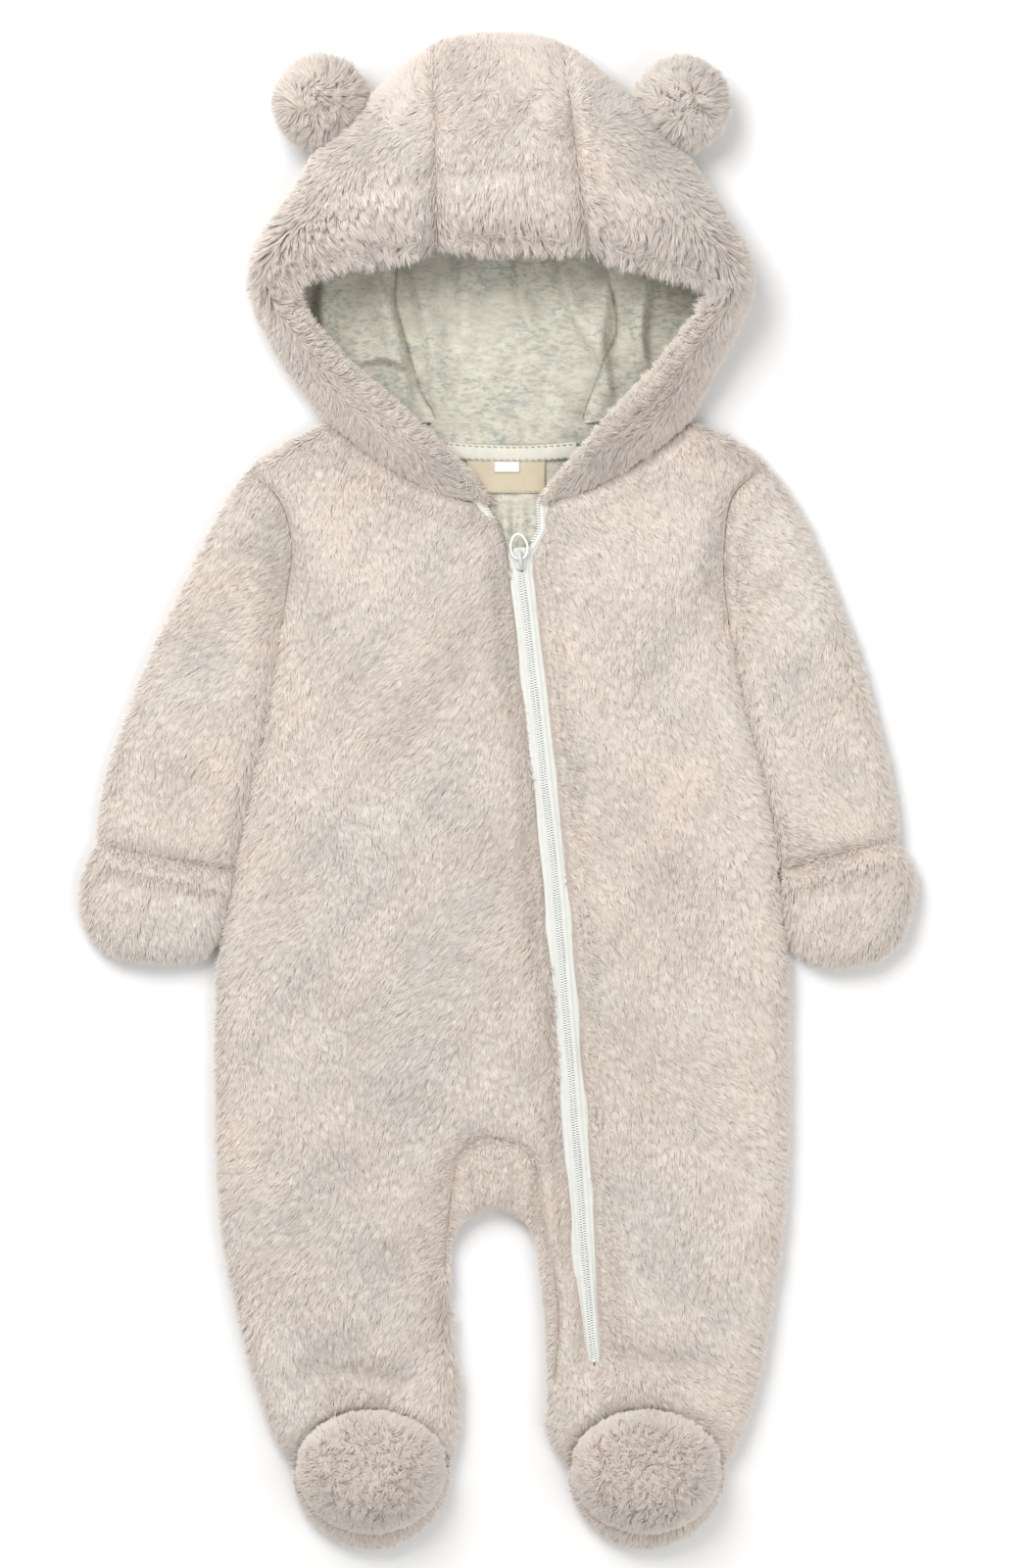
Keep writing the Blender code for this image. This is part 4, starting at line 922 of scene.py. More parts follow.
def grow_nap(name, cloth_mesh, nap, density, seed):
    """A nap of leaves that start evenly spread over a cloth and lean together in tufts.

    A leaf is one triangle: its root's two corners and its tip, which lies at the root + length x
    (comb x cos(lift) + up x sin(lift)), pulled towards the tip of its tuft, more so where it is long.
    nap gives each point of the cloth its comb, the leaf's length, its lift and how densely leaves
    stand there. Each leaf has a cell of its own in the map that its colour is baked into.
    """
    points, faces = cloth_mesh
    normals = point_normals(points, faces)
    comb, length, lift, share = nap(points, normals)
    rng = np.random.default_rng(seed)
    corners, weights = spread(points, faces, share, density, rng)
    count = len(corners)

    def at(field):
        """What the cloth's points have, at each root."""
        return (np.reshape(field, (len(points), -1))[corners] * weights).sum(1)

    root, up = at(points), unit(at(normals))
    length, lift = at(length), at(lift)
    comb = level_with(at(comb), up)
    keys, tuft = tufts(root)
    tuft = tuft.reshape(-1)
    many = np.bincount(tuft).astype(float)

    def mean(field):
        """The mean over each tuft of its roots' vectors."""
        return np.stack([np.bincount(tuft, field[:, k]) for k in range(3)], 1) / many[:, None]

    lengths = length * (0.8 + 0.4 * chance(keys, 4))[tuft][:, None]
    lifts = lift + ((chance(keys, 5) - 0.5) * TUFT_LIFT)[tuft][:, None]
    heart = mean(root)[tuft]
    way = turned(comb, up, ((chance(keys, 6) - 0.5) * TUFT_TURN)[tuft])
    reach = way * np.cos(lifts) + up * np.sin(lifts)
    shared = unit(mean(reach))[tuft] * (np.bincount(tuft, lengths[:, 0]) / many)[tuft][:, None]
    wild = turned(way, up, rng.normal(0, STRAY, count))
    own = (wild * np.cos(lifts) + up * np.sin(lifts)) * lengths * rng.uniform(0.8, 1.1, (count, 1))
    pull = np.clip(length / 14 - 0.07, 0.15, 0.5) + 0.22 * climb(length, LONG_LEAF, 1.5)
    tip = (root + own) * (1 - pull) + (heart + shared) * pull
    axis = tip - root
    turn = rng.normal(0, ROLL, (count, 1))
    side = unit(np.cross(up, axis)) * np.cos(turn) + up * np.sin(turn)
    side *= LEAF_WIDTH / 2 * rng.uniform(0.75, 1.25, (count, 1))
    leaf = np.stack([root - side, root + side, tip], 1)
    leaf[..., 2] = np.maximum(leaf[..., 2], 0.2)
    out = unit(np.cross(leaf[:, 1] - leaf[:, 0], leaf[:, 2] - leaf[:, 0]))
    shown = np.where(up[:, 2:] > -0.3, up * 0.25 + (0, 0, 1), up)
    away = (out * shown).sum(1) < 0
    leaf[away] = leaf[away][:, (1, 0, 2)]
    out[away] *= -1
    made = new_piece(name, leaf.reshape(-1, 3), np.arange(count * 3).reshape(-1, 3), NAP)
    mesh = made.data
    # The tone: random for each tuft and each leaf, plus painted sheen in slow patches.
    tone = 0.5 + (chance(keys, 7) - 0.5)[tuft] * 0.5 + rng.normal(0, 0.2, count) + 0.09 * painted_sheen(root)
    # rim: painted light near the suit's outline, below the hood.
    rim = np.exp(-gap_from(points, OUTLINE) / 24) * (points[:, 1] < 150)
    mapped(mesh, "strand", strands(tone, root, up[:, 2], at(rim)[:, 0], at(share)[:, 0]))
    cells = math.ceil(math.sqrt(count))
    cell = np.stack(np.divmod(np.arange(count), cells), 1)[:, None] + LEAF_IN_CELL
    mapped(mesh, "OFBake", cell / cells)
    rounding = (root - heart) / CLUMP
    skyward = np.clip(up[:, 2:] * 3 + 1.4, 0, 1) * (1.35 - up[:, 2:]) * (0, 0, 1.0)
    facing = up * (1.7, 1.7, 1) + skyward + rounding * 0.55 - unit(axis) * 0.12
    facing = unit(facing + rng.normal(0, 0.13, (count, 3)))
    facing += out * np.clip(0.35 - (facing * out).sum(1, keepdims=True), 0, None)
    mesh.normals_split_custom_set_from_vertices(np.repeat(unit(facing), 3, 0))
    return made


# ---------------------------------------------------------------- how the nap lies


def polyline(*parts):
    """One line from several pieces of line."""
    return np.vstack([np.reshape(part, (-1, np.shape(part)[-1])) for part in parts])


front_outer, front_inner, front_right = front_plans()
back_left, back_right = back_plans()
ARMHOLES = {
    side: curved(TRUNK[SHOULDER_ROW : ARMPIT_ROW + 1, columns], 3) for side, columns in SIDE_COLUMNS.items()
}
NECK_SEAMS = {"left": polyline(front_outer[0], front_inner[0]), "right": front_right[0][::-1]}
CUFFS = {side: np.array((SLEEVES[side][-1][:2], SLEEVES[side][-1][2:])) for side in SLEEVES}
ANKLES = {side: leg_row(side, len(LEGS[side]) - 1)(np.linspace(0, 1, 33)) for side in LEGS}
GUSSET_SEAM = np.vstack([
    [leg_ends("left", k)[1] for k in range(GUSSET_ENDS["left"], 2, -1)],
    [on_arch(GUSSET_ARCH, angle) for angle in range(180, -1, -10)],
    [leg_ends("right", k)[1] for k in range(3, GUSSET_ENDS["right"] + 1)],
])
ZIP_EDGES = [
    np.stack([zip_x(np.arange(-288.0, 150, 6), hand), np.arange(-288.0, 150, 6)], 1) for hand in (-1, 1)
]
ALL_SEAMS = [
    *ARMHOLES.values(), *NECK_SEAMS.values(), *CUFFS.values(), *ANKLES.values(), GUSSET_SEAM, *ZIP_EDGES,
]


def swirl(points, amount=0.5):
    """A slow, uneven turn of the comb's direction."""
    x, y = points[:, 0], points[:, 1]
    return amount * (
        np.sin(x / 17 + 1.3 * np.sin(y / 29)) * 0.6 + np.sin(y / 23 - 0.9 * np.sin(x / 31) + 1.7) * 0.5
    )


def beside_seams(points, comb, length, seams, reach=6.0):
    """Leaves beside a seam are shorter and lean away from it, and few stand in the seam itself."""
    share = np.ones(len(points))
    for line in seams:
        gap, away = nearest(points, line)
        near = np.exp(-gap / reach)
        comb[:, : away.shape[1]] += away * near[:, None] * 1.8
        length *= 1 - 0.42 * near
        share *= 1 - 0.85 * bell(gap, 1.7)
    return comb, length, share


def underneath(normals, length, lift):
    """Leaves that lie under the suit are pressed flat and stand further apart."""
    under = np.clip(-normals[:, 2] * 1.6 - 0.2, 0, 1)
    return length * (1 - 0.2 * under), lift * (1 - under) + math.radians(4) * under, 1 - 0.78 * under


def lean(points, normals, comb, length=7.0, lift=9.0, seams=ALL_SEAMS, turn=0.5):
    """What grow_nap asks for, from a comb's direction and the leaves' length and lift in degrees.

    On a steep side the leaves are shorter and hang out and down, so that they ring the suit.
    """
    comb = turned(np.broadcast_to(comb, points.shape).astype(float), UP, swirl(points, turn))
    steep = np.clip(1 - np.abs(normals[:, 2]), 0, 1) * np.clip(normals[:, 2] * 3 + 1.4, 0, 1)
    comb *= (1 - 0.9 * steep)[:, None]
    comb[:, 2] -= 1.2 * steep
    lengths = length * (1 - 0.3 * steep)
    comb, lengths, few = beside_seams(points, comb, lengths, seams)
    lengths, lifts, share = underneath(normals, lengths, np.radians(lift) * np.ones(len(points)))
    return comb, lengths, lifts + math.radians(34) * steep, share * few * (1 + 0.6 * steep)


DOWNWARDS = (0.0, -1.0, 0.0)


def trunk_nap(points, normals):
    """Down the front, and away from the zip beside it."""
    comb = np.tile(DOWNWARDS, (len(points), 1))
    beside = points[:, 0] - zip_x(points[:, 1])
    comb[:, 0] = 0.55 * np.tanh(beside / 30) * np.exp(-np.abs(beside) / 70)
    comb[:, 0] += 0.25 * np.tanh(beside / 60)
    foot = climb(-points[:, 1], 290, 6) * np.exp(-np.abs(beside) / 7)
    comb[:, 0] -= np.sign(beside) * 2.2 * foot
    return lean(points, normals, comb)


def sleeve_nap(side):
    """Along the sleeve towards its cuff."""
    return lambda points, normals: lean(points, normals, (0.42 * HANDS[side], -0.9, 0.0))


def gusset_nap(points, normals):
    """Short and smooth, down to the crotch."""
    return lean(points, normals, DOWNWARDS, length=5.0, turn=0.15)


def mitt_nap(points, normals):
    """Over the hand."""
    return lean(points, normals, DOWNWARDS, lift=11.0)


def round_nap(centre, length, lift, radius, rough=0.8, curl=1.0):
    """Outwards from a centre near the radius, and within it every way and more upright.

    rough is how far the curls turn it off, curl how wide they are.
    """
    centre = np.asarray(centre, float)

    def nap(points, normals):
        """What grow_nap asks for."""
        x, y = points[:, 0] / curl, points[:, 1] / curl
        off = (points - centre) / radius
        off[:, 2] = 0
        near = np.exp(-(off**2).sum(1) * 1.6)
        any_way = 2.5 * np.sin(x / 3.6 + 1.7 * np.sin(y / 4.3))
        any_way = any_way + 2.5 * np.sin(y / 3.9 + 2 * np.sin(x / 5.1))
        curls = np.stack([np.cos(any_way), np.sin(any_way), 0 * x], 1)
        comb = off + rough * (0.45 + near[:, None]) * curls
        return lean(points, normals, comb, length, lift + 5 * near, [], 0.3)

    return nap


# ---------------------------------------------------------------- the cloth pieces


def cloth(name, patches, finish, slot, wall, *nodes):
    """A thin shell over grids, its wall on its inner side, which stands for these nodes."""
    points, faces = weld(patches)
    made = new_piece(name, points, faces, finish, nodes)
    thick = made.modifiers.new("wall", "SOLIDIFY")
    thick.thickness, thick.offset = wall * MM, -1.0
    return made, (points, faces)


def part_of(cloth_mesh, low, high):
    """The triangles of a cloth whose middles lie between two corners in plan."""
    points, faces = cloth_mesh
    x, y = points[faces].mean(1)[:, :2].T
    return points, faces[(x >= low[0]) & (x < high[0]) & (y > low[1]) & (y <= high[1])]


PLUSH_WALL = 1.8  # the knitted ground's thickness
DENSITY = 2.1  # leaves of nap on each square millimetre
FAR = 1000.0  # past the suit on any side


def plush(name, patches, nap, seed, slot="plush", density=DENSITY):
    """A plush piece with its nap, which stands for the node of its name."""
    made, mesh = cloth(f"plush_{name}", patches, BACKING, slot, PLUSH_WALL, name)
    leaves = grow_nap(f"nap_{name}", mesh, nap, density, seed)


def make_trunk():
    """The two fronts and the back, whose naps are grown in parts."""
    left_parts = [front_face(part, ALL_SEAMS) for part in (front_outer, front_inner)]
    right_part = front_face(front_right, ALL_SEAMS)
    for part in (left_parts[1], right_part):
        beside = np.abs(part[..., 0] - zip_x(part[..., 1]))
        part[..., 2] -= 1.6 * bell(beside - 6, 5) * (part[..., 1] > -300)
    pieces = {
        name: cloth(f"plush_{name}", patches, BACKING, "plush", PLUSH_WALL, name)
        for name, patches in (
            ("front_left", [(part, UP) for part in left_parts]),
            ("front_right", [(right_part, UP)]),
            ("back", [(back_face(half), DOWN) for half in (back_left, back_right)]),
        )
    }
    naps = {name: [] for name in pieces}
    for seed, (name, part, low, high) in enumerate((
        ("front_left", "chest_left", (-FAR, 20), (FAR, FAR)),
        ("front_left", "belly_left", (-FAR, -155), (FAR, 20)),
        ("front_left", "leg_left", (-FAR, -FAR), (0, -155)),
        ("front_left", "leg_inner", (0, -FAR), (FAR, -155)),
        ("front_right", "chest_right", (-FAR, -120), (FAR, FAR)),
        ("front_right", "leg_right", (-FAR, -FAR), (FAR, -120)),
        ("back", "back", (-FAR, -FAR), (FAR, FAR)),
    ), 11):
        mesh = part_of(pieces[name][1], low, high)
        naps[name].append(grow_nap(f"nap_{part}", mesh, trunk_nap, DENSITY, seed))


def make_gusset():
    """The crotch gusset, from its seam on the front over the cloth's edge to the seam behind."""
    seam = [
        (-25.8, -252), *[leg_ends("left", k)[1] for k in range(GUSSET_ENDS["left"], -1, -1)],
        on_arch(GUSSET_ARCH, 90),
        *[leg_ends("right", k)[1] for k in range(GUSSET_ENDS["right"] + 1)], (28.0, -312),
    ]
    fold = [
        (-25.2, -252), INSEAMS["left"][1], *[on_arch(CROTCH_ARCH, turn) for turn in range(170, 0, -20)],
        *INSEAMS["right"][1:4], (26.8, -312),
    ]
    pairs = curved(np.stack([seam, fold], axis=1), 2.5)
    shares = np.array((0, 0.15, 0.32, 0.5, 0.66, 0.79, 0.89, 0.95, 0.985, 1))[:, None, None]
    plan = pairs[:, 0] * (1 - shares) + pairs[:, 1] * shares
    upper, under = front_face(plan, [GUSSET_SEAM]), back_face(plan)
    upper[..., 2] += 6.0 * (shares * (1 - shares))[..., 0] * np.sin(upper[..., 0] / 2.1)
    upper[-1, :, 2] = under[-1, :, 2] = MIDDLE
    plush("gusset", [(upper, UP), (under, DOWN)], gusset_nap, 21)


def make_arm(side):
    """A sleeve, and the turn-over mitt at its end."""
    first = resample(ARMHOLES[side], ACROSS)
    rows = np.array([first] + [bowed(row[:2], row[2:], 0, 1.0, ACROSS) for row in SLEEVES[side]])
    upper, under = two_faces(curved(rows, 5.0), [ARMHOLES[side], CUFFS[side]], ARM_SEAM)
    plush(f"sleeve_{side}", [(upper, UP), (under, DOWN)], sleeve_nap(side), 31)

    bows = [0] * len(MITTS[side]) + [-HAND_BOW]
    rows = [
        bowed(row[:2], row[2:], bow, 1.0, ACROSS)
        for row, bow in zip([SLEEVES[side][-1], *MITTS[side]], bows)
    ]
    rows = curved(rows, 4.0)
    closing = [rows[-1] + (rows[-2] - rows[-1]) * share for share in (0.6, 0.3, 0.1, 0.02, 0)]
    upper, under = two_faces(np.concatenate([rows[:-1], closing]), [CUFFS[side]], ARM_SEAM)
    along = np.linspace(0, 1, len(upper))[:, None]
    upper[..., 2] += MITT_SWELL * np.sin(math.pi * along) * np.sin(math.pi * ACROSS) ** 0.8
    roll = MITT_ROLL * bell(gap_from(upper, CUFFS[side]) - 8, 4.5)
    upper[..., 2] += roll * np.sin(math.pi * ACROSS) ** 0.5
    upper[-1, :, 2] = under[-1, :, 2] = MIDDLE
    plush(f"mitt_{side}", [(upper, UP), (under, DOWN)], mitt_nap, 32)


def make_foot(side):
    """The sole, which turns up round the toe, and the vamp domed over it."""
    middle = np.array((FOOT_X[side], FOOT_Y))
    rows = [leg_row(side, HEEL_ROW, -HEEL_DROP)(ACROSS)]
    for k in (HEEL_ROW + 1, HEEL_ROW + 2):
        outer, inner = leg_ends(side, k)
        rows.append(bowed(outer, inner, 0, 1.0, ACROSS))
    rows = list(curved(rows, 5.0))
    widest, last = len(rows) - 1, len(rows) - 1 + len(TOE_TURNS)
    rows += [bowed(toe(side, a), toe(side, 180 - a), 0, 1.0, ACROSS) for a in TOE_TURNS]
    tip = TOE_RADIUS * (1 - math.sin(math.radians(TOE_TURNS[-1])))
    ends = rows[last][0], rows[last][-1]
    rows = np.array(rows + [bowed(*ends, -tip * share, 1.0, ACROSS) for share in (0.4, 0.75, 0.95, 1)])
    under = back_face(rows)
    edge = np.concatenate([rows[widest : last + 1, 0], rows[-1, 1:-1], rows[widest : last + 1, -1][::-1]])
    turn = np.arctan2(*(edge - middle)[:, ::-1].T)
    seam = middle + np.column_stack([
        (VAMP_HALF_WIDTH + VAMP_SEAM) * np.cos(turn), (VAMP_DOWN + VAMP_SEAM) * np.sin(turn)
    ])
    shares = np.array((0, 0.05, 0.15, 0.35, 0.65, 1))[:, None, None]
    rim = front_face(edge * (1 - shares) + seam * shares)
    under[:, (0, -1), 2] = under[-1, :, 2] = rim[0, :, 2] = MIDDLE
    nap = round_nap((*middle, 12.0), 5.2, 13, 10.0)
    plush(f"sole_{side}", [(under, DOWN), (rim, UP)], nap, 41, slot="sole")

    cap = np.array([
        (FOOT_X[side] + VAMP_HALF_WIDTH * math.cos(a), FOOT_Y - VAMP_DOWN * math.sin(a))
        for a in np.linspace(0, math.pi, 49)
    ])
    ankle = ANKLES[side][1:-1] + unit(middle - ANKLES[side][1:-1]) * 0.6
    ring = np.vstack([cap if side == "left" else cap[::-1], ankle])
    ring = np.vstack([ring, ring[:1]])
    base = front_face(ring)[None]
    base[..., 2] = np.minimum(base[..., 2], VAMP_BASE)
    shares = np.sin(np.linspace(math.pi / 2, 0, 22))[:, None, None] ** 0.9
    dome = np.array((*middle, 0.0)) * (1 - shares) + base * shares
    swell = (1 - shares**VAMP_POWER) ** (1 / VAMP_POWER)
    dome[..., 2:] = base[..., 2:] + (VAMP_CREST - base[..., 2:]) * swell
    dome[..., 2:] -= 1.5 * bell(shares, 0.16)
    nap = round_nap((*middle, 22.0), 4.8, 26, VAMP_HALF_WIDTH, 1.5, 0.6)
    plush(f"vamp_{side}", [(dome, UP)], nap, 42, density=DENSITY * 1.2)


# ---------------------------------------------------------------- the hood


# Marks on a hood's row: from its rim to its fold, round under the fold, and level on to its seam
FROM_RIM = np.array((
    0, 0.02, 0.05, 0.09, 0.14, 0.2, 0.27, 0.34, 0.41, 0.48, 0.55, 0.61, 0.67, 0.73, 0.78, 0.83, 0.87,
    0.905, 0.935, 0.96, 0.98, 0.993, 1,
))
UNDER_FOLD = np.array((0.015, 0.06, 0.13, 0.23, 0.36, 0.53, 0.74, 1.0))
TO_SEAM = np.array((0.2, 0.4, 0.6, 0.8, 1.0))
FOLD_AT = len(FROM_RIM) - 1
# Marks across its middle panel, from seam to seam
HOOD_MARKS = np.array((0, 0.03, 0.08, 0.15, 0.23, 0.32, 0.41, 0.5, 0.59, 0.68, 0.77, 0.85, 0.92, 0.97, 1))
SINK = 1.2  # how far the backing lies inside the hood's solid
HEM_WIDTH, HEM_RISE = 33, 2.4  # the hem round the hood's opening, which ends in a trough at its brow
FLOOR_SEAMS = {
    "left": ((178, -27), (203, -39), (240, -50), (258, -54), (300, -45), (333, -34), (364, -31)),
    "right": ((178, 40), (198, 46), (238, 62), (258, 57), (300, 46), (333, 36), (364, 33)),
}


def floor_seam(side, y):
    """The x of the lining's seam on the hood's floor at y."""
    table = np.array(FLOOR_SEAMS[side], float)
    return float(np.interp(y, table[:, 0], table[:, 1]))


def tucked(edge, end, share, fold):
    """A row from its fold's edge, at a height, to its end at the seam underneath.

    It follows a quarter circle down to the floor for a share of the way, and then lies level.
    """
    q = UNDER_FOLD[:, None]
    drop = fold - (fold - FLOOR_GAP) * np.sqrt(1 - (1 - q) ** 2)
    low = np.hstack([edge + (end - edge) * q * share, drop])
    return np.vstack([low, low[-1] + (np.array((*end, FLOOR_GAP)) - low[-1]) * TO_SEAM[:, None]])


def hood_side(side, seam_x):
    """A side of the hood: rows from its rim over the outline's fold and under to its seam.

    From the fold inwards a row's height follows a quarter circle to its rim's height, and swells by
    a half sine between them; under the fold it follows another quarter circle down to the floor.
    """
    t = FROM_RIM[:, None]
    neck = NECK_SEAMS[side]
    neck = resample(neck[::-1] if side == "left" else neck, FROM_RIM)
    top = front_face(neck, NECK_SEAMS.values())
    s = (seam_x(186) - TRUNK[0, 0]) / (TRUNK[0, 2] - TRUNK[0, 0])
    end = np.array((seam_x(186), trunk_row(TRUNK[0], BACK_DIP)([s])[0, 1]))
    grid = [np.vstack([top, tucked(neck[-1], end, NECK_FOLD_SHARE, MIDDLE)]) + (0, 0.9, 0)]
    for rim_x, rim_y, rim_z, edge_x, edge_y, fold, back_y in HOOD[side]:
        rim, edge = np.array((rim_x, rim_y), float), np.array((edge_x, edge_y), float)
        width = np.linalg.norm(edge - rim)
        plan = rim + (edge - rim) * t
        puff = min(HOOD_PUFF, HOOD_PUFF_SHARE * width) * np.sin(math.pi * t)
        rest = np.maximum(0, 1 - (1 - t) * width / min(width, HOOD_ROUND * (rim_z - fold)))
        top = np.hstack([plan, fold + (rim_z + puff - fold) * np.sqrt(1 - rest**2)])
        end = np.array((seam_x(back_y), back_y), float)
        share = min(FOLD_REACH * fold / np.linalg.norm(end - edge), 0.85)
        grid.append(np.vstack([top, tucked(edge, end, share, fold)]))
    return np.array(grid)


def hood_sides(seam_x):
    """Both sides of the hood, whose seams underneath lie at an x for each side and y."""
    coarse = [hood_side(side, lambda y, side=side: seam_x(side, y)) for side in HOOD]
    return dict(zip(HOOD, side_by_side(coarse, 4.5, ())))


def section_facing(grid):
    """The outward direction at each point of rows that run from a rim over to a fold and back under.

    It is square to the row within the row's own upright plane.
    """
    plan = grid[..., :2]
    out = unit(plan[:, FOLD_AT] - plan[:, 0])
    under = unit(plan[:, FOLD_AT] - plan[:, FOLD_AT + len(UNDER_FOLD)])
    level = np.repeat(out[:, None], grid.shape[1], axis=1)
    level[:, FOLD_AT] = unit(out + under)
    level[:, FOLD_AT + 1 :] = under[:, None]
    way = unit(np.diff(grid, axis=1))
    along = np.concatenate([way[:, :1], way[:, :-1] + way[:, 1:], way[:, -1:]], axis=1)
    run = (along[..., :2] * level).sum(-1, keepdims=True)
    return unit(np.concatenate([-along[..., 2:] * level, run], axis=-1))


def seam_line(grid):
    """The edge that a side shares with the middle panel: its last row, then its seam underneath."""
    return np.concatenate([grid[-1], grid[-2::-1, -1]])


def crown(sides):
    """The hood's middle panel: rows of points between the sides' seams, bulged upwards."""
    left, right = map(seam_line, sides.values())
    bulge = np.zeros(len(left))
    bulge[: FOLD_AT + 1] = CROWN_BULGE
    bulge[FOLD_AT + 1 : FOLD_AT + 1 + len(UNDER_FOLD)] = CROWN_BULGE * (1 - UNDER_FOLD)
    s = HOOD_MARKS[:, None, None]
    made = left * (1 - s) + right * s
    made[..., 1] += bulge * (4 * s[..., 0] * (1 - s[..., 0]))
    return made


def from_rim(grid):
    """How far each point lies from the rim, along its row."""
    step = np.linalg.norm(np.diff(grid, axis=1), axis=2)
    return np.concatenate([np.zeros((len(grid), 1)), np.cumsum(step, axis=1)], axis=1)


def hemmed(grid, facing):
    """A hood panel's backing: sunk, with the rolled hem at its rim, the hem's trough and its seams."""
    walk = from_rim(grid)
    fade = climb(grid[..., 2], 14, 8)
    brow = np.exp(-((grid[..., 0] / 78) ** 6))
    lift = HEM_RISE * bell(walk - 16, 10) - HEM_RISE * brow * bell(walk - HEM_WIDTH, 3.6)
    lift = lift * fade - SINK
    lift += relief(grid) * climb(walk, 6, 20) * fade
    for line in HOOD_SEAMS:
        lift -= 3.2 * bell(gap_from(grid, line), 4.0) * fade
    moved = grid + facing * lift[..., None]
    along = unit(moved[:, 1] - moved[:, 0])
    out = facing[:, 0]
    turns = np.radians(np.arange(215, 0, -24))[None, :, None]
    ways = out[:, None] * np.cos(turns) - along[:, None] * np.sin(turns)
    roll = (moved[:, 0] - out * RIM_ROLL)[:, None] + RIM_ROLL * ways
    return np.concatenate([roll, moved], axis=1), np.concatenate([ways, facing], axis=1)


def hood_nap(points, normals):
    """Down the hood, and over the rim into the opening near it, where the leaves are longest."""
    x, y = points[:, 0], points[:, 1]
    gap, away = nearest(points, HOOD_RIM)
    near = np.exp(-gap / 22)[:, None]
    comb = np.tile(DOWNWARDS, (len(points), 1)) * (1 - near * 0.8) - away * near * 1.5
    comb[:, 0] += 0.35 * climb(gap, 30, 20) * np.tanh(x / 20)
    over = climb(y, 322, 46) * (gap > 30)
    any_way = 2.5 * np.sin(x / 4 + 2 * np.sin(y / 5.3))
    curls = np.stack([np.cos(any_way), np.sin(any_way), 0 * over], 1)
    comb = comb * (1 - 2 * over)[:, None] + (over * (1 - over) * 2.6)[:, None] * curls
    comb, lengths, lifts, share = lean(points, normals, comb, 6.4, 10, HOOD_PARTINGS)
    brow = 1 / (1 + np.exp((246 - y) / 6))
    hem = brow / (1 + np.exp((gap - 32) / 4.0))
    lengths = lengths * (1 + 0.7 * hem + brow * 0.5 * bell(gap, 12))
    lifts = lifts + math.radians(4) * hem + math.radians(10) * brow * bell(gap, 11)
    return comb, lengths, lifts, share * (1 - 0.4 * brow * bell(gap - HEM_WIDTH, 1.8))


LOW_ROWS = 4  # rows at the neck, under the rim, that the lining does without
LINING_FOOT, FOOT_SPREAD = (3, 175.6, 8.4), 1.4  # where its middle panel ends, and how it widens
HOOD_HOLLOW = np.array((0.0, 270.0, 26.0))  # the middle of it
LINING_FOLDS = (
    # from x, y, to x, y, bow, width (under 0 where the steep side is on the other hand), height
    (-90, 268, -80, 204, -6, 9, 7.0),
    (-64, 272, -44, 190, 4, -9, 6.5),
    (-50, 276, -34, 176, 5, 10, 6.0),
    (-74, 216, -38, 206, 7, 5, 4.5),
    (-24, 280, -20, 216, 2, 10, 3.6),
    (-4, 240, -6, 180, -3, 12, 2.4),
    (8, 282, 16, 228, -3, 7, 4.6),
    (28, 280, 54, 216, -6, 8, 6.4),
    (64, 276, 60, 196, -7, -9, 6.6),
    (84, 272, 78, 212, -6, -8, 6.4),
    (28, 212, 22, 178, 3, 9, 2.8),
)


def finer(grid, gap=3.0):
    """The same grid with points no further apart than gap along both its ways."""
    for axis in (0, 1):
        widest = np.linalg.norm(np.diff(grid, axis=axis), axis=-1).max(1 - axis)
        marks = np.concatenate([[0.0], *(
            k + np.arange(1, n + 1) / n for k, n in enumerate(np.ceil(widest / gap).astype(int))
        )])
        low = np.minimum(marks.astype(int), grid.shape[axis] - 2)
        share = np.expand_dims(marks - low, (1, 2) if axis == 0 else (0, 2))
        grid = np.take(grid, low, axis) * (1 - share) + np.take(grid, low + 1, axis) * share
    return grid


def lined(grid, facing):
    """The lining inside a hood panel, with its folds on the floor."""
    both = finer(np.concatenate([grid, facing], axis=2))
    grid, facing = both[..., :3], unit(both[..., 3:])
    x, y = grid[..., 0], grid[..., 1]
    folds = np.zeros(x.shape)
    for *line, width, height in LINING_FOLDS:
        fade, off = beside_fold(x, y, *line)
        slope = 0.5 + 0.5 * np.tanh(off / math.copysign(1.6, width))
        folds += 1.5 * height * fade * bell(off, width) * slope
    folds += 0.45 * np.sin(x / 5.5 + 2 * np.sin(y / 19)) + 0.4 * np.sin(y / 9 + x / 23)
    for seam in FLOOR_SEAMS.values():
        folds -= 2.2 * bell(gap_from(grid, np.array(seam, float)[:, ::-1]), 3.2) * (y < 300)
    floor = np.clip(-facing[..., 2] * 2, 0, 1)
    return grid - facing * (LINING_DEPTH + folds * floor)[..., None]


HOOD_SIDES = hood_sides(lambda side, y: HOOD_SEAM_X[side])
HOOD_SEAMS = [side[-1, : FOLD_AT + 6] for side in HOOD_SIDES.values()]
HOOD_PARTINGS = [line[:, :2] for line in HOOD_SEAMS]
HOOD_RIM = np.vstack([
    HOOD_SIDES["left"][:, 0], crown(HOOD_SIDES)[1:-1, 0], HOOD_SIDES["right"][::-1, 0],
])


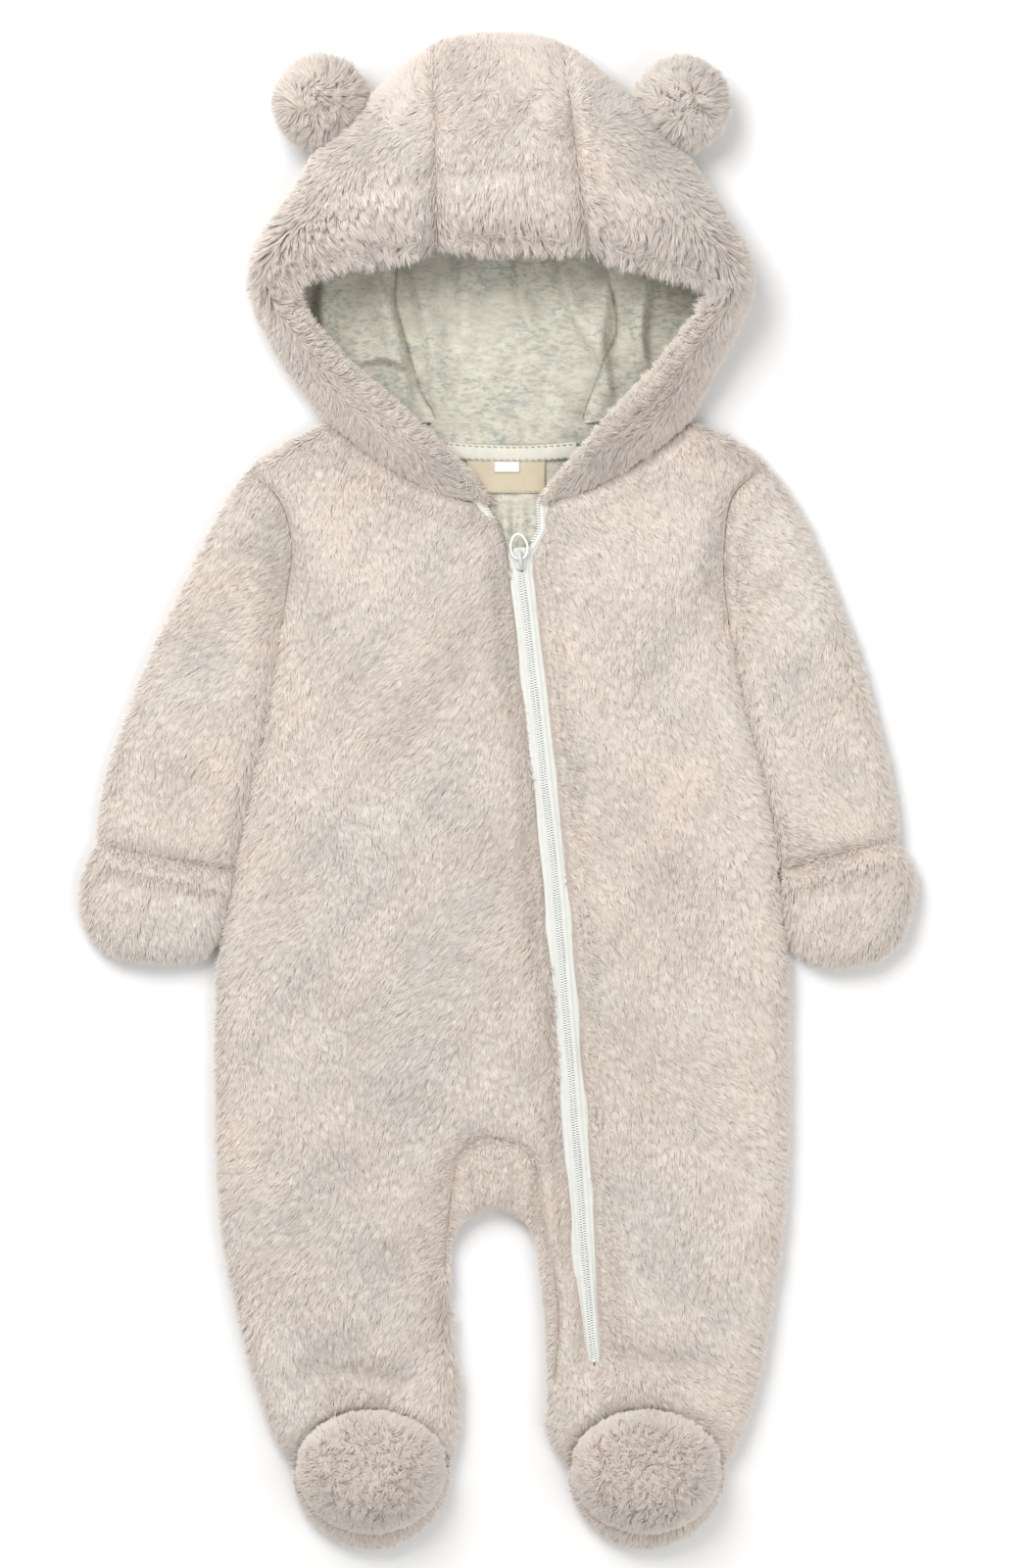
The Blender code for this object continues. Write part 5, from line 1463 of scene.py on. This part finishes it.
def make_hood():
    """The hood's two sides and its middle panel, and the jersey that lines them.

    The lining's middle panel runs straight on from its last row to its foot under the neck band.
    """
    panels = {**HOOD_SIDES, "middle": crown(HOOD_SIDES)}
    for seed, (name, grid) in enumerate(panels.items(), 51):
        plush(f"hood_{name}", [hemmed(grid, section_facing(grid))], hood_nap, seed)

    sides = hood_sides(floor_seam)
    linings = {
        side: lined(grid[LOW_ROWS:], section_facing(grid)[LOW_ROWS:]) for side, grid in sides.items()
    }
    panel = crown(sides)
    middle = lined(panel[:, :-LOW_ROWS - 1], section_facing(panel)[:, :-LOW_ROWS - 1])
    end = middle[:, -1:]
    low = (end - LINING_FOOT) * (FOOT_SPREAD, 0, 0) + LINING_FOOT
    shares = np.array((0.3, 0.6, 0.85, 1))[None, :, None]
    linings["middle"] = np.concatenate([middle, end * (1 - shares) + low * shares], axis=1)
    for name, grid in linings.items():
        patch = (grid, unit(HOOD_HOLLOW - grid))
        made, mesh = cloth(f"jersey_{name}", [patch], JERSEY, "lining", 0.9, f"hood_lining_{name}")


# ---------------------------------------------------------------- ears, trims and the zip


def make_ear(side):
    """A stuffed ear: a flattened ball, flat where it is sewn to the hood."""
    x, y, angle = EARS[side]
    centre = np.array((x, y, EAR_Z))
    turn = math.radians(angle)
    inward = np.array((math.sin(turn), -math.cos(turn), 0))
    up = np.linspace(0, math.pi, 25)[:, None]
    around = np.linspace(0, 2 * math.pi, 49)[None, :]
    ways = np.dstack([np.sin(up) * np.cos(around), np.sin(up) * np.sin(around), np.cos(up) + 0 * around])
    ball = ways * (EAR_RADIUS, EAR_RADIUS, EAR_HALF_HEIGHT)
    ball -= inward * np.maximum((ball * inward).sum(-1, keepdims=True) - EAR_SEWN, 0)
    points, faces = weld([(centre + ball, ways)])
    made = new_piece(f"plush_ear_{side}", points, faces, BACKING, [f"ear_{side}"])
    nap = round_nap(centre, 8.0, 30, EAR_RADIUS, 0.6)
    grow_nap(f"nap_ear_{side}", (points, faces), nap, DENSITY * 1.3, 61)


def ground(low_x, high_x, low_y, high_y, nx, ny):
    """A level grid between these limits, as x and y."""
    return np.meshgrid(np.linspace(low_x, high_x, nx), np.linspace(low_y, high_y, ny))


def level_cloth(name, x, y, z, finish, slot, wall, node):
    """A cloth that faces upwards over a grid's x, y and z, and stands for a node."""
    return cloth(name, [(np.dstack([x, y, z]), UP)], finish, slot, wall, node)


def circle(sides):
    """Angles evenly spread round a circle."""
    return np.linspace(0, 2 * math.pi, sides, endpoint=False)


def skin(ids):
    """The triangles between rings of points, from their numbers."""
    beside = np.roll(ids, -1, axis=1)
    quads = np.stack([ids[:-1], beside[:-1], beside[1:], ids[1:]], -1).reshape(-1, 4)
    return np.concatenate([quads[:, (0, 1, 2)], quads[:, (0, 2, 3)]])


def stitched(name, path, length, gap, radius):
    """A row of sewn stitches along a path: spindles with six sides, each a little sunk at its ends."""
    walk = walked(path)
    starts = np.arange(0, walk[-1] - length, length + gap)
    rings = np.array((0, 0.25, 0.5, 0.75, 1.0))
    at = starts[:, None] + length * rings
    spine = np.stack([np.interp(at, walk, path[:, k]) for k in range(3)], -1)
    along = unit(spine[:, -1] - spine[:, 0])
    side = unit(np.cross(along, UP))
    top = np.cross(side, along)
    turn = circle(STITCH_SIDES)[:, None]
    ring = side[:, None, None] * np.cos(turn) + top[:, None, None] * np.sin(turn)
    tubes = spine[:, :, None] + ring * (radius * np.array((0.35, 0.9, 1, 0.9, 0.35)))[None, :, None, None]
    tubes = tubes - (top[:, None] * (0.5 * radius * (2 * rings - 1) ** 2)[:, None])[:, :, None]
    return bars(name, tubes, THREAD)


def bars(name, tubes, finish, nodes=()):
    """Many short closed bars in one mesh, from arrays of bars x rings x points round each ring."""
    count, rings, sides = tubes.shape[:3]
    fan = np.array([(0, k, k + 1) for k in range(1, sides - 1)])
    one = np.concatenate([
        skin(np.arange(rings * sides).reshape(rings, sides)), fan[:, (0, 2, 1)], fan + (rings - 1) * sides
    ])
    first = tubes[0].reshape(-1, 3)
    one = outward(first, one, first[one].mean(1) - first.mean(0))
    faces = (one[None] + np.arange(count)[:, None, None] * rings * sides).reshape(-1, 3)
    return new_piece(name, tubes.reshape(-1, 3), faces, finish, nodes)


NECK_FOLDS = (
    # x at y 150, how x changes with y, width, height
    (3.5, -0.02, 2.6, 2.8),
    (12.5, 0.05, 3.0, 2.6),
    (8.2, 0, 1.7, -1.6),
    (-2.4, 0, 1.8, -1.4),
    (19.5, 0, 2.4, 1.2),
)


def make_neck():
    """What shows in the open neck: the lining in soft folds, the band, the label and its tab."""
    x, y = ground(-38, 52, 100, 192, 91, 41)
    folds = 0.25 * np.sin(x / 2.1 + y / 13)
    for at, slant, width, height in NECK_FOLDS:
        folds += height * bell(x - at - slant * (y - 150), width)
    z = 7.3 + folds * climb(-y, -153, 14) - 0.9 * climb(y, 179, 8) - 1.1 * bell(y - 178, 1.6)
    made, mesh = level_cloth("neck_cloth", x, y, z, JERSEY, "lining", 0.8, "neck_lining")

    def hung(x, y):
        """The y of a place on the band, which hangs in a shallow curve."""
        return y + 0.0016 * (x - 7) ** 2 - 0.6

    x, y = ground(-26, 40, 168, 176.5, 67, 14)
    z = 8.7 + 0.9 * np.sin(math.pi * ((y - 168) / 8.5)) ** 0.6 + 0.12 * np.sin(x / 1.4)
    made, mesh = level_cloth("neck_band_cloth", x, hung(x, y), z, BAND, "lining", 0.8, "neck_band")
    x = np.linspace(-25, 39, 65)
    rows = [
        stitched(f"band_stitches_{k}", np.stack([x, hung(x, at), 0 * x + 9.75], 1), 2.0, 1.2, 0.34)
        for k, at in enumerate((168.9, 175.4))
    ]

    x, y = ground(-16, 24, 151.5, 170, 41, 20)
    z = 8.35 + 0.35 * np.sin((x + 16) / 40 * math.pi) + 0.12 * np.sin(y / 2.6 + x / 9)
    made, mesh = level_cloth("label_cloth", x, y, z, LABEL, "label", 0.5, "label")
    x = np.linspace(-12, 26, 40)
    hem = stitched("label_stitches", np.stack([x, 0 * x + 152.6, 0 * x + 8.75], 1), 1.6, 0.9, 0.2)

    x, y = ground(-2, 11, 162, 167.5, 14, 7)
    z = 9.15 + 0.2 * np.sin((x + 2) / 13 * math.pi)
    made, mesh = level_cloth("size_tab_cloth", x, y, z, TAB, "zip_tape", 0.4, "size_tab")


SLIDER_Y, LEAN_Y = 118.0, 80.0  # where the slider stands, and the y whose place it points to
SLIDER_HALF, SLIDER_LENGTH, SLIDER_Z, SLIDER_HEIGHT = 4.6, 12.0, 9.5, 3.4
RING_HALF_WIDTH, RING_LENGTH, RING_RADIUS, RING_Z = 4.3, 14.0, 0.65, 14.1
TAPE_SHOWS = {"left": -0.6, "right": 3.0}  # how far a tape stands out past the open neck's edge
TOOTH_PITCH, TOOTH_RADIUS = 1.3, 0.5
STITCH_SIDES = 6  # and a tooth's
BRIDGE_HALF, BRIDGE_RISE, BRIDGE_RADIUS = 4.0, 4.3, 0.85  # the slider's arch, which holds the ring


def tape_edge(side, y):
    """The x of a tape's inner edge: along the zip's line, and along the open neck above the slider."""
    hand = HANDS[side]
    parting = climb(y, 112, 14)
    parting = parting * parting * (3 - 2 * parting)
    closed = zip_x(y) + hand * (0.1 + 0.4 * (y > -290))
    return closed * (1 - parting) + (zip_x(y, hand) - hand * TAPE_SHOWS[side]) * parting


def make_tapes():
    """Both tapes with their folded ridges, and the coils on them."""
    y = np.concatenate([np.linspace(149, 100, 50), np.linspace(96, -291, 98), np.linspace(-293, -297, 3)])
    across = np.array((0, 0.7, 1.5, 2.1, 2.6, 3.1, 3.7, 4.3, 4.9, 5.6, 6.6, 8.0, 10.0, 12.0))
    ridge = 1.5 * bell(across - 2.4, 1.3) + 0.35 * bell(across - 4.9, 1.0)
    teeth = []
    for side, hand in HANDS.items():
        x = tape_edge(side, y)[:, None] + hand * across
        waver = 0.16 * np.sin(y / 9 + hand) + 0.1 * np.sin(y / 4.1)
        z = 9.2 + 1.1 / (1 + np.exp((across - 6.4) * 2)) + waver[:, None]
        z = z + ridge * (1 + 0.12 * np.sin(y / 23 + hand))[:, None]
        z -= 2.6 * climb(-y, 235, 55)[:, None] * climb(across, 1.5, 1.5)
        rows = np.broadcast_to(y[:, None], x.shape)
        made, mesh = level_cloth(
            f"zip_tape_cloth_{side}", x, rows, z, TAPE, "zip_tape", 0.6, f"zip_tape_{side}"
        )
        tooth_y = np.arange(148, -291, -TOOTH_PITCH) - (TOOTH_PITCH / 2 if side == "left" else 0)
        tooth_y = tooth_y[(tooth_y > 126) | (tooth_y < 111)]
        near = tape_edge(side, tooth_y)
        start = np.stack([near + hand * 1.4, tooth_y, np.full(len(near), 10.9)], 1)
        end = np.stack([near - hand * 0.8, tooth_y - 0.1, np.full(len(near), 11.1)], 1)
        marks = np.array((0, 0.5, 1))[:, None, None]
        spine = (start * (1 - marks) + end * marks).transpose(1, 0, 2)
        spine[..., 2] += 0.35 * np.sin(math.pi * marks[:, 0, 0])
        turn = circle(STITCH_SIDES)
        ring = np.stack([0 * turn, np.cos(turn), 0.9 * np.sin(turn)], 1)
        size = TOOTH_RADIUS * np.array((0.8, 1, 0.8))[:, None]
        teeth.append(spine[:, :, None] + ring * size[None, :, :, None])
    bars("zip_coil", np.concatenate(teeth), PLASTIC, ["zip_chain"])


SLANT = math.atan2(float(zip_x(LEAN_Y) - zip_x(SLIDER_Y)), SLIDER_Y - LEAN_Y)


def seated(local):
    """Places on the suit of points in the slider's own frame, whose Y runs up the zip."""
    cos, sin = math.cos(SLANT), math.sin(SLANT)
    return local @ np.array(((cos, sin, 0), (-sin, cos, 0), (0, 0, 1))) + (zip_x(SLIDER_Y), SLIDER_Y, 0)


def make_slider():
    """The slider, wider at its upper end and rounded, with the bridge that holds the ring."""
    along = np.linspace(-1, 1, 33)[:, None]
    half = SLIDER_HALF * (0.84 + 0.16 * np.tanh(2.5 * along)) * (1 - np.abs(along) ** 7) ** 0.45
    around = np.linspace(0, 2 * math.pi, 33)[None, :]
    squared = np.sign(np.cos(around)) * np.abs(np.cos(around)) ** 0.55
    height = np.sign(np.sin(around)) * np.abs(np.sin(around)) ** 0.6
    centre = SLIDER_Z + SLIDER_HEIGHT / 2
    body = np.dstack([
        half * squared, SLIDER_LENGTH / 2 * along + 0 * around,
        centre + (SLIDER_HEIGHT / 2) * height * (1 - np.abs(along) ** 6) ** 0.4,
    ])
    points, faces = weld([(body, body - (0, 0, centre))])
    bend = np.linspace(0, math.pi, 25)
    foot = SLIDER_Z + SLIDER_HEIGHT - 0.8
    arch = np.stack([
        0 * bend, -BRIDGE_HALF * np.cos(bend), foot + BRIDGE_RISE * np.sin(bend) ** 0.6
    ], 1)
    more, more_faces = tube(arch, (1.0, 0, 0), BRIDGE_RADIUS, 12)
    new_piece(
        "slider_body", seated(np.vstack([points, more])), np.vstack([faces, more_faces + len(points)]),
        MOULDING, ["zip_slider"],
    )


def make_ring():
    """The enamelled ring, narrower at its upper end."""
    turn = np.linspace(-math.pi / 2, 1.5 * math.pi, 72, endpoint=False)
    path = np.stack([
        RING_HALF_WIDTH * np.cos(turn) * (1 - 0.12 * np.sin(turn)),
        -0.2 * RING_RADIUS + (RING_LENGTH / 2 - RING_RADIUS) * (1 + np.sin(turn)),
        0 * turn + RING_Z,
    ], 1)
    points, faces = tube(path, (0, 0, 1.0), RING_RADIUS, 14, closed=True)
    new_piece("pull_ring", seated(points), faces, ENAMEL, ["zip_pull"], "ring")


def tube(path, across, radius, sides, closed=False):
    """A round wire along a path that lies in a plane, whose normal is across, as triangles."""
    along = np.roll(path, -1, 0) - np.roll(path, 1, 0) if closed else np.gradient(path, axis=0)
    across = np.broadcast_to(across, path.shape)
    side = unit(np.cross(unit(along), across))
    turn = circle(sides)[:, None]
    points = path[:, None] + radius * (side[:, None] * np.cos(turn) + across[:, None] * np.sin(turn))
    ids = np.arange(len(path) * sides).reshape(len(path), sides)
    if closed:
        faces = skin(np.vstack([ids, ids[:1]]))
    else:
        fan = np.array([(0, k, k + 1) for k in range(1, sides - 1)])
        faces = np.concatenate([skin(ids), fan[:, ::-1], ids[-1, 0] + fan])
    flat = points.reshape(-1, 3)
    centre = np.repeat(path, sides, axis=0)
    return flat, outward(flat, faces, (flat - centre)[faces[:, 0]])


# ---------------------------------------------------------------- the room


FLOOR_HALF, FLOOR_Z = 3.0, -0.0004  # metres, like all in this part
CAMERA_HEIGHT, FRAME_HEIGHT, SENSOR_HEIGHT = 6.0, 0.8, 36.0
LAMPS = (
    # name, where it stands, its width, watts
    ("overhead", (-0.7, 1.05, 1.55), 1.1, 28.5),
    ("fill", (0.9, -0.7, 1.6), 1.6, 11.5),
)


def make_room():
    """A plain pale floor, soft light from above, and a camera straight above the suit."""
    mesh = bpy.data.meshes.new("floor")
    corners = [(x * FLOOR_HALF, y * FLOOR_HALF, FLOOR_Z) for x, y in ((-1, -1), (1, -1), (1, 1), (-1, 1))]
    mesh.from_pydata(corners, [], [(0, 1, 2, 3)])
    floor = add_object("floor", mesh)
    made, tree, shader, place = new_finish("pale floor", Roughness=0.9)
    shade = steps(tree, noise(tree, place, 3.0), (0.3, 0.90), (0.7, 0.92))
    tree.links.new(shade, shader["Base Color"])
    mesh.materials.append(made)

    for name, (x, y, z), width, power in LAMPS:
        light = bpy.data.lights.new(name, "AREA")
        light.size, light.energy = width, power
        lamp = add_object(name, light)
        lamp.location = (x, y, z)
        lamp.rotation_euler = (math.atan2(math.hypot(x, y), z), 0, math.atan2(-x, y) + math.pi)
    world = bpy.data.worlds.new("room")
    world.use_nodes = True
    sky = world.node_tree.nodes["Background"].inputs
    sky["Color"].default_value, sky["Strength"].default_value = (1.0, 0.995, 0.98, 1), 0.54
    bpy.context.scene.world = world
    bpy.context.scene.view_settings.view_transform = "Standard"

    lens = bpy.data.cameras.new("camera")
    lens.sensor_fit, lens.sensor_height = "VERTICAL", SENSOR_HEIGHT
    lens.lens = SENSOR_HEIGHT * CAMERA_HEIGHT / FRAME_HEIGHT
    lens.clip_end = 50
    camera = add_object("camera", lens)
    camera.location = (0.00575, 0.00325, CAMERA_HEIGHT)
    bpy.context.scene.camera = camera


make_room()
make_neck()
make_tapes()
make_slider()
make_ring()
make_trunk()
make_gusset()
for side in HANDS:
    make_arm(side)
    make_foot(side)
    make_ear(side)
make_hood()
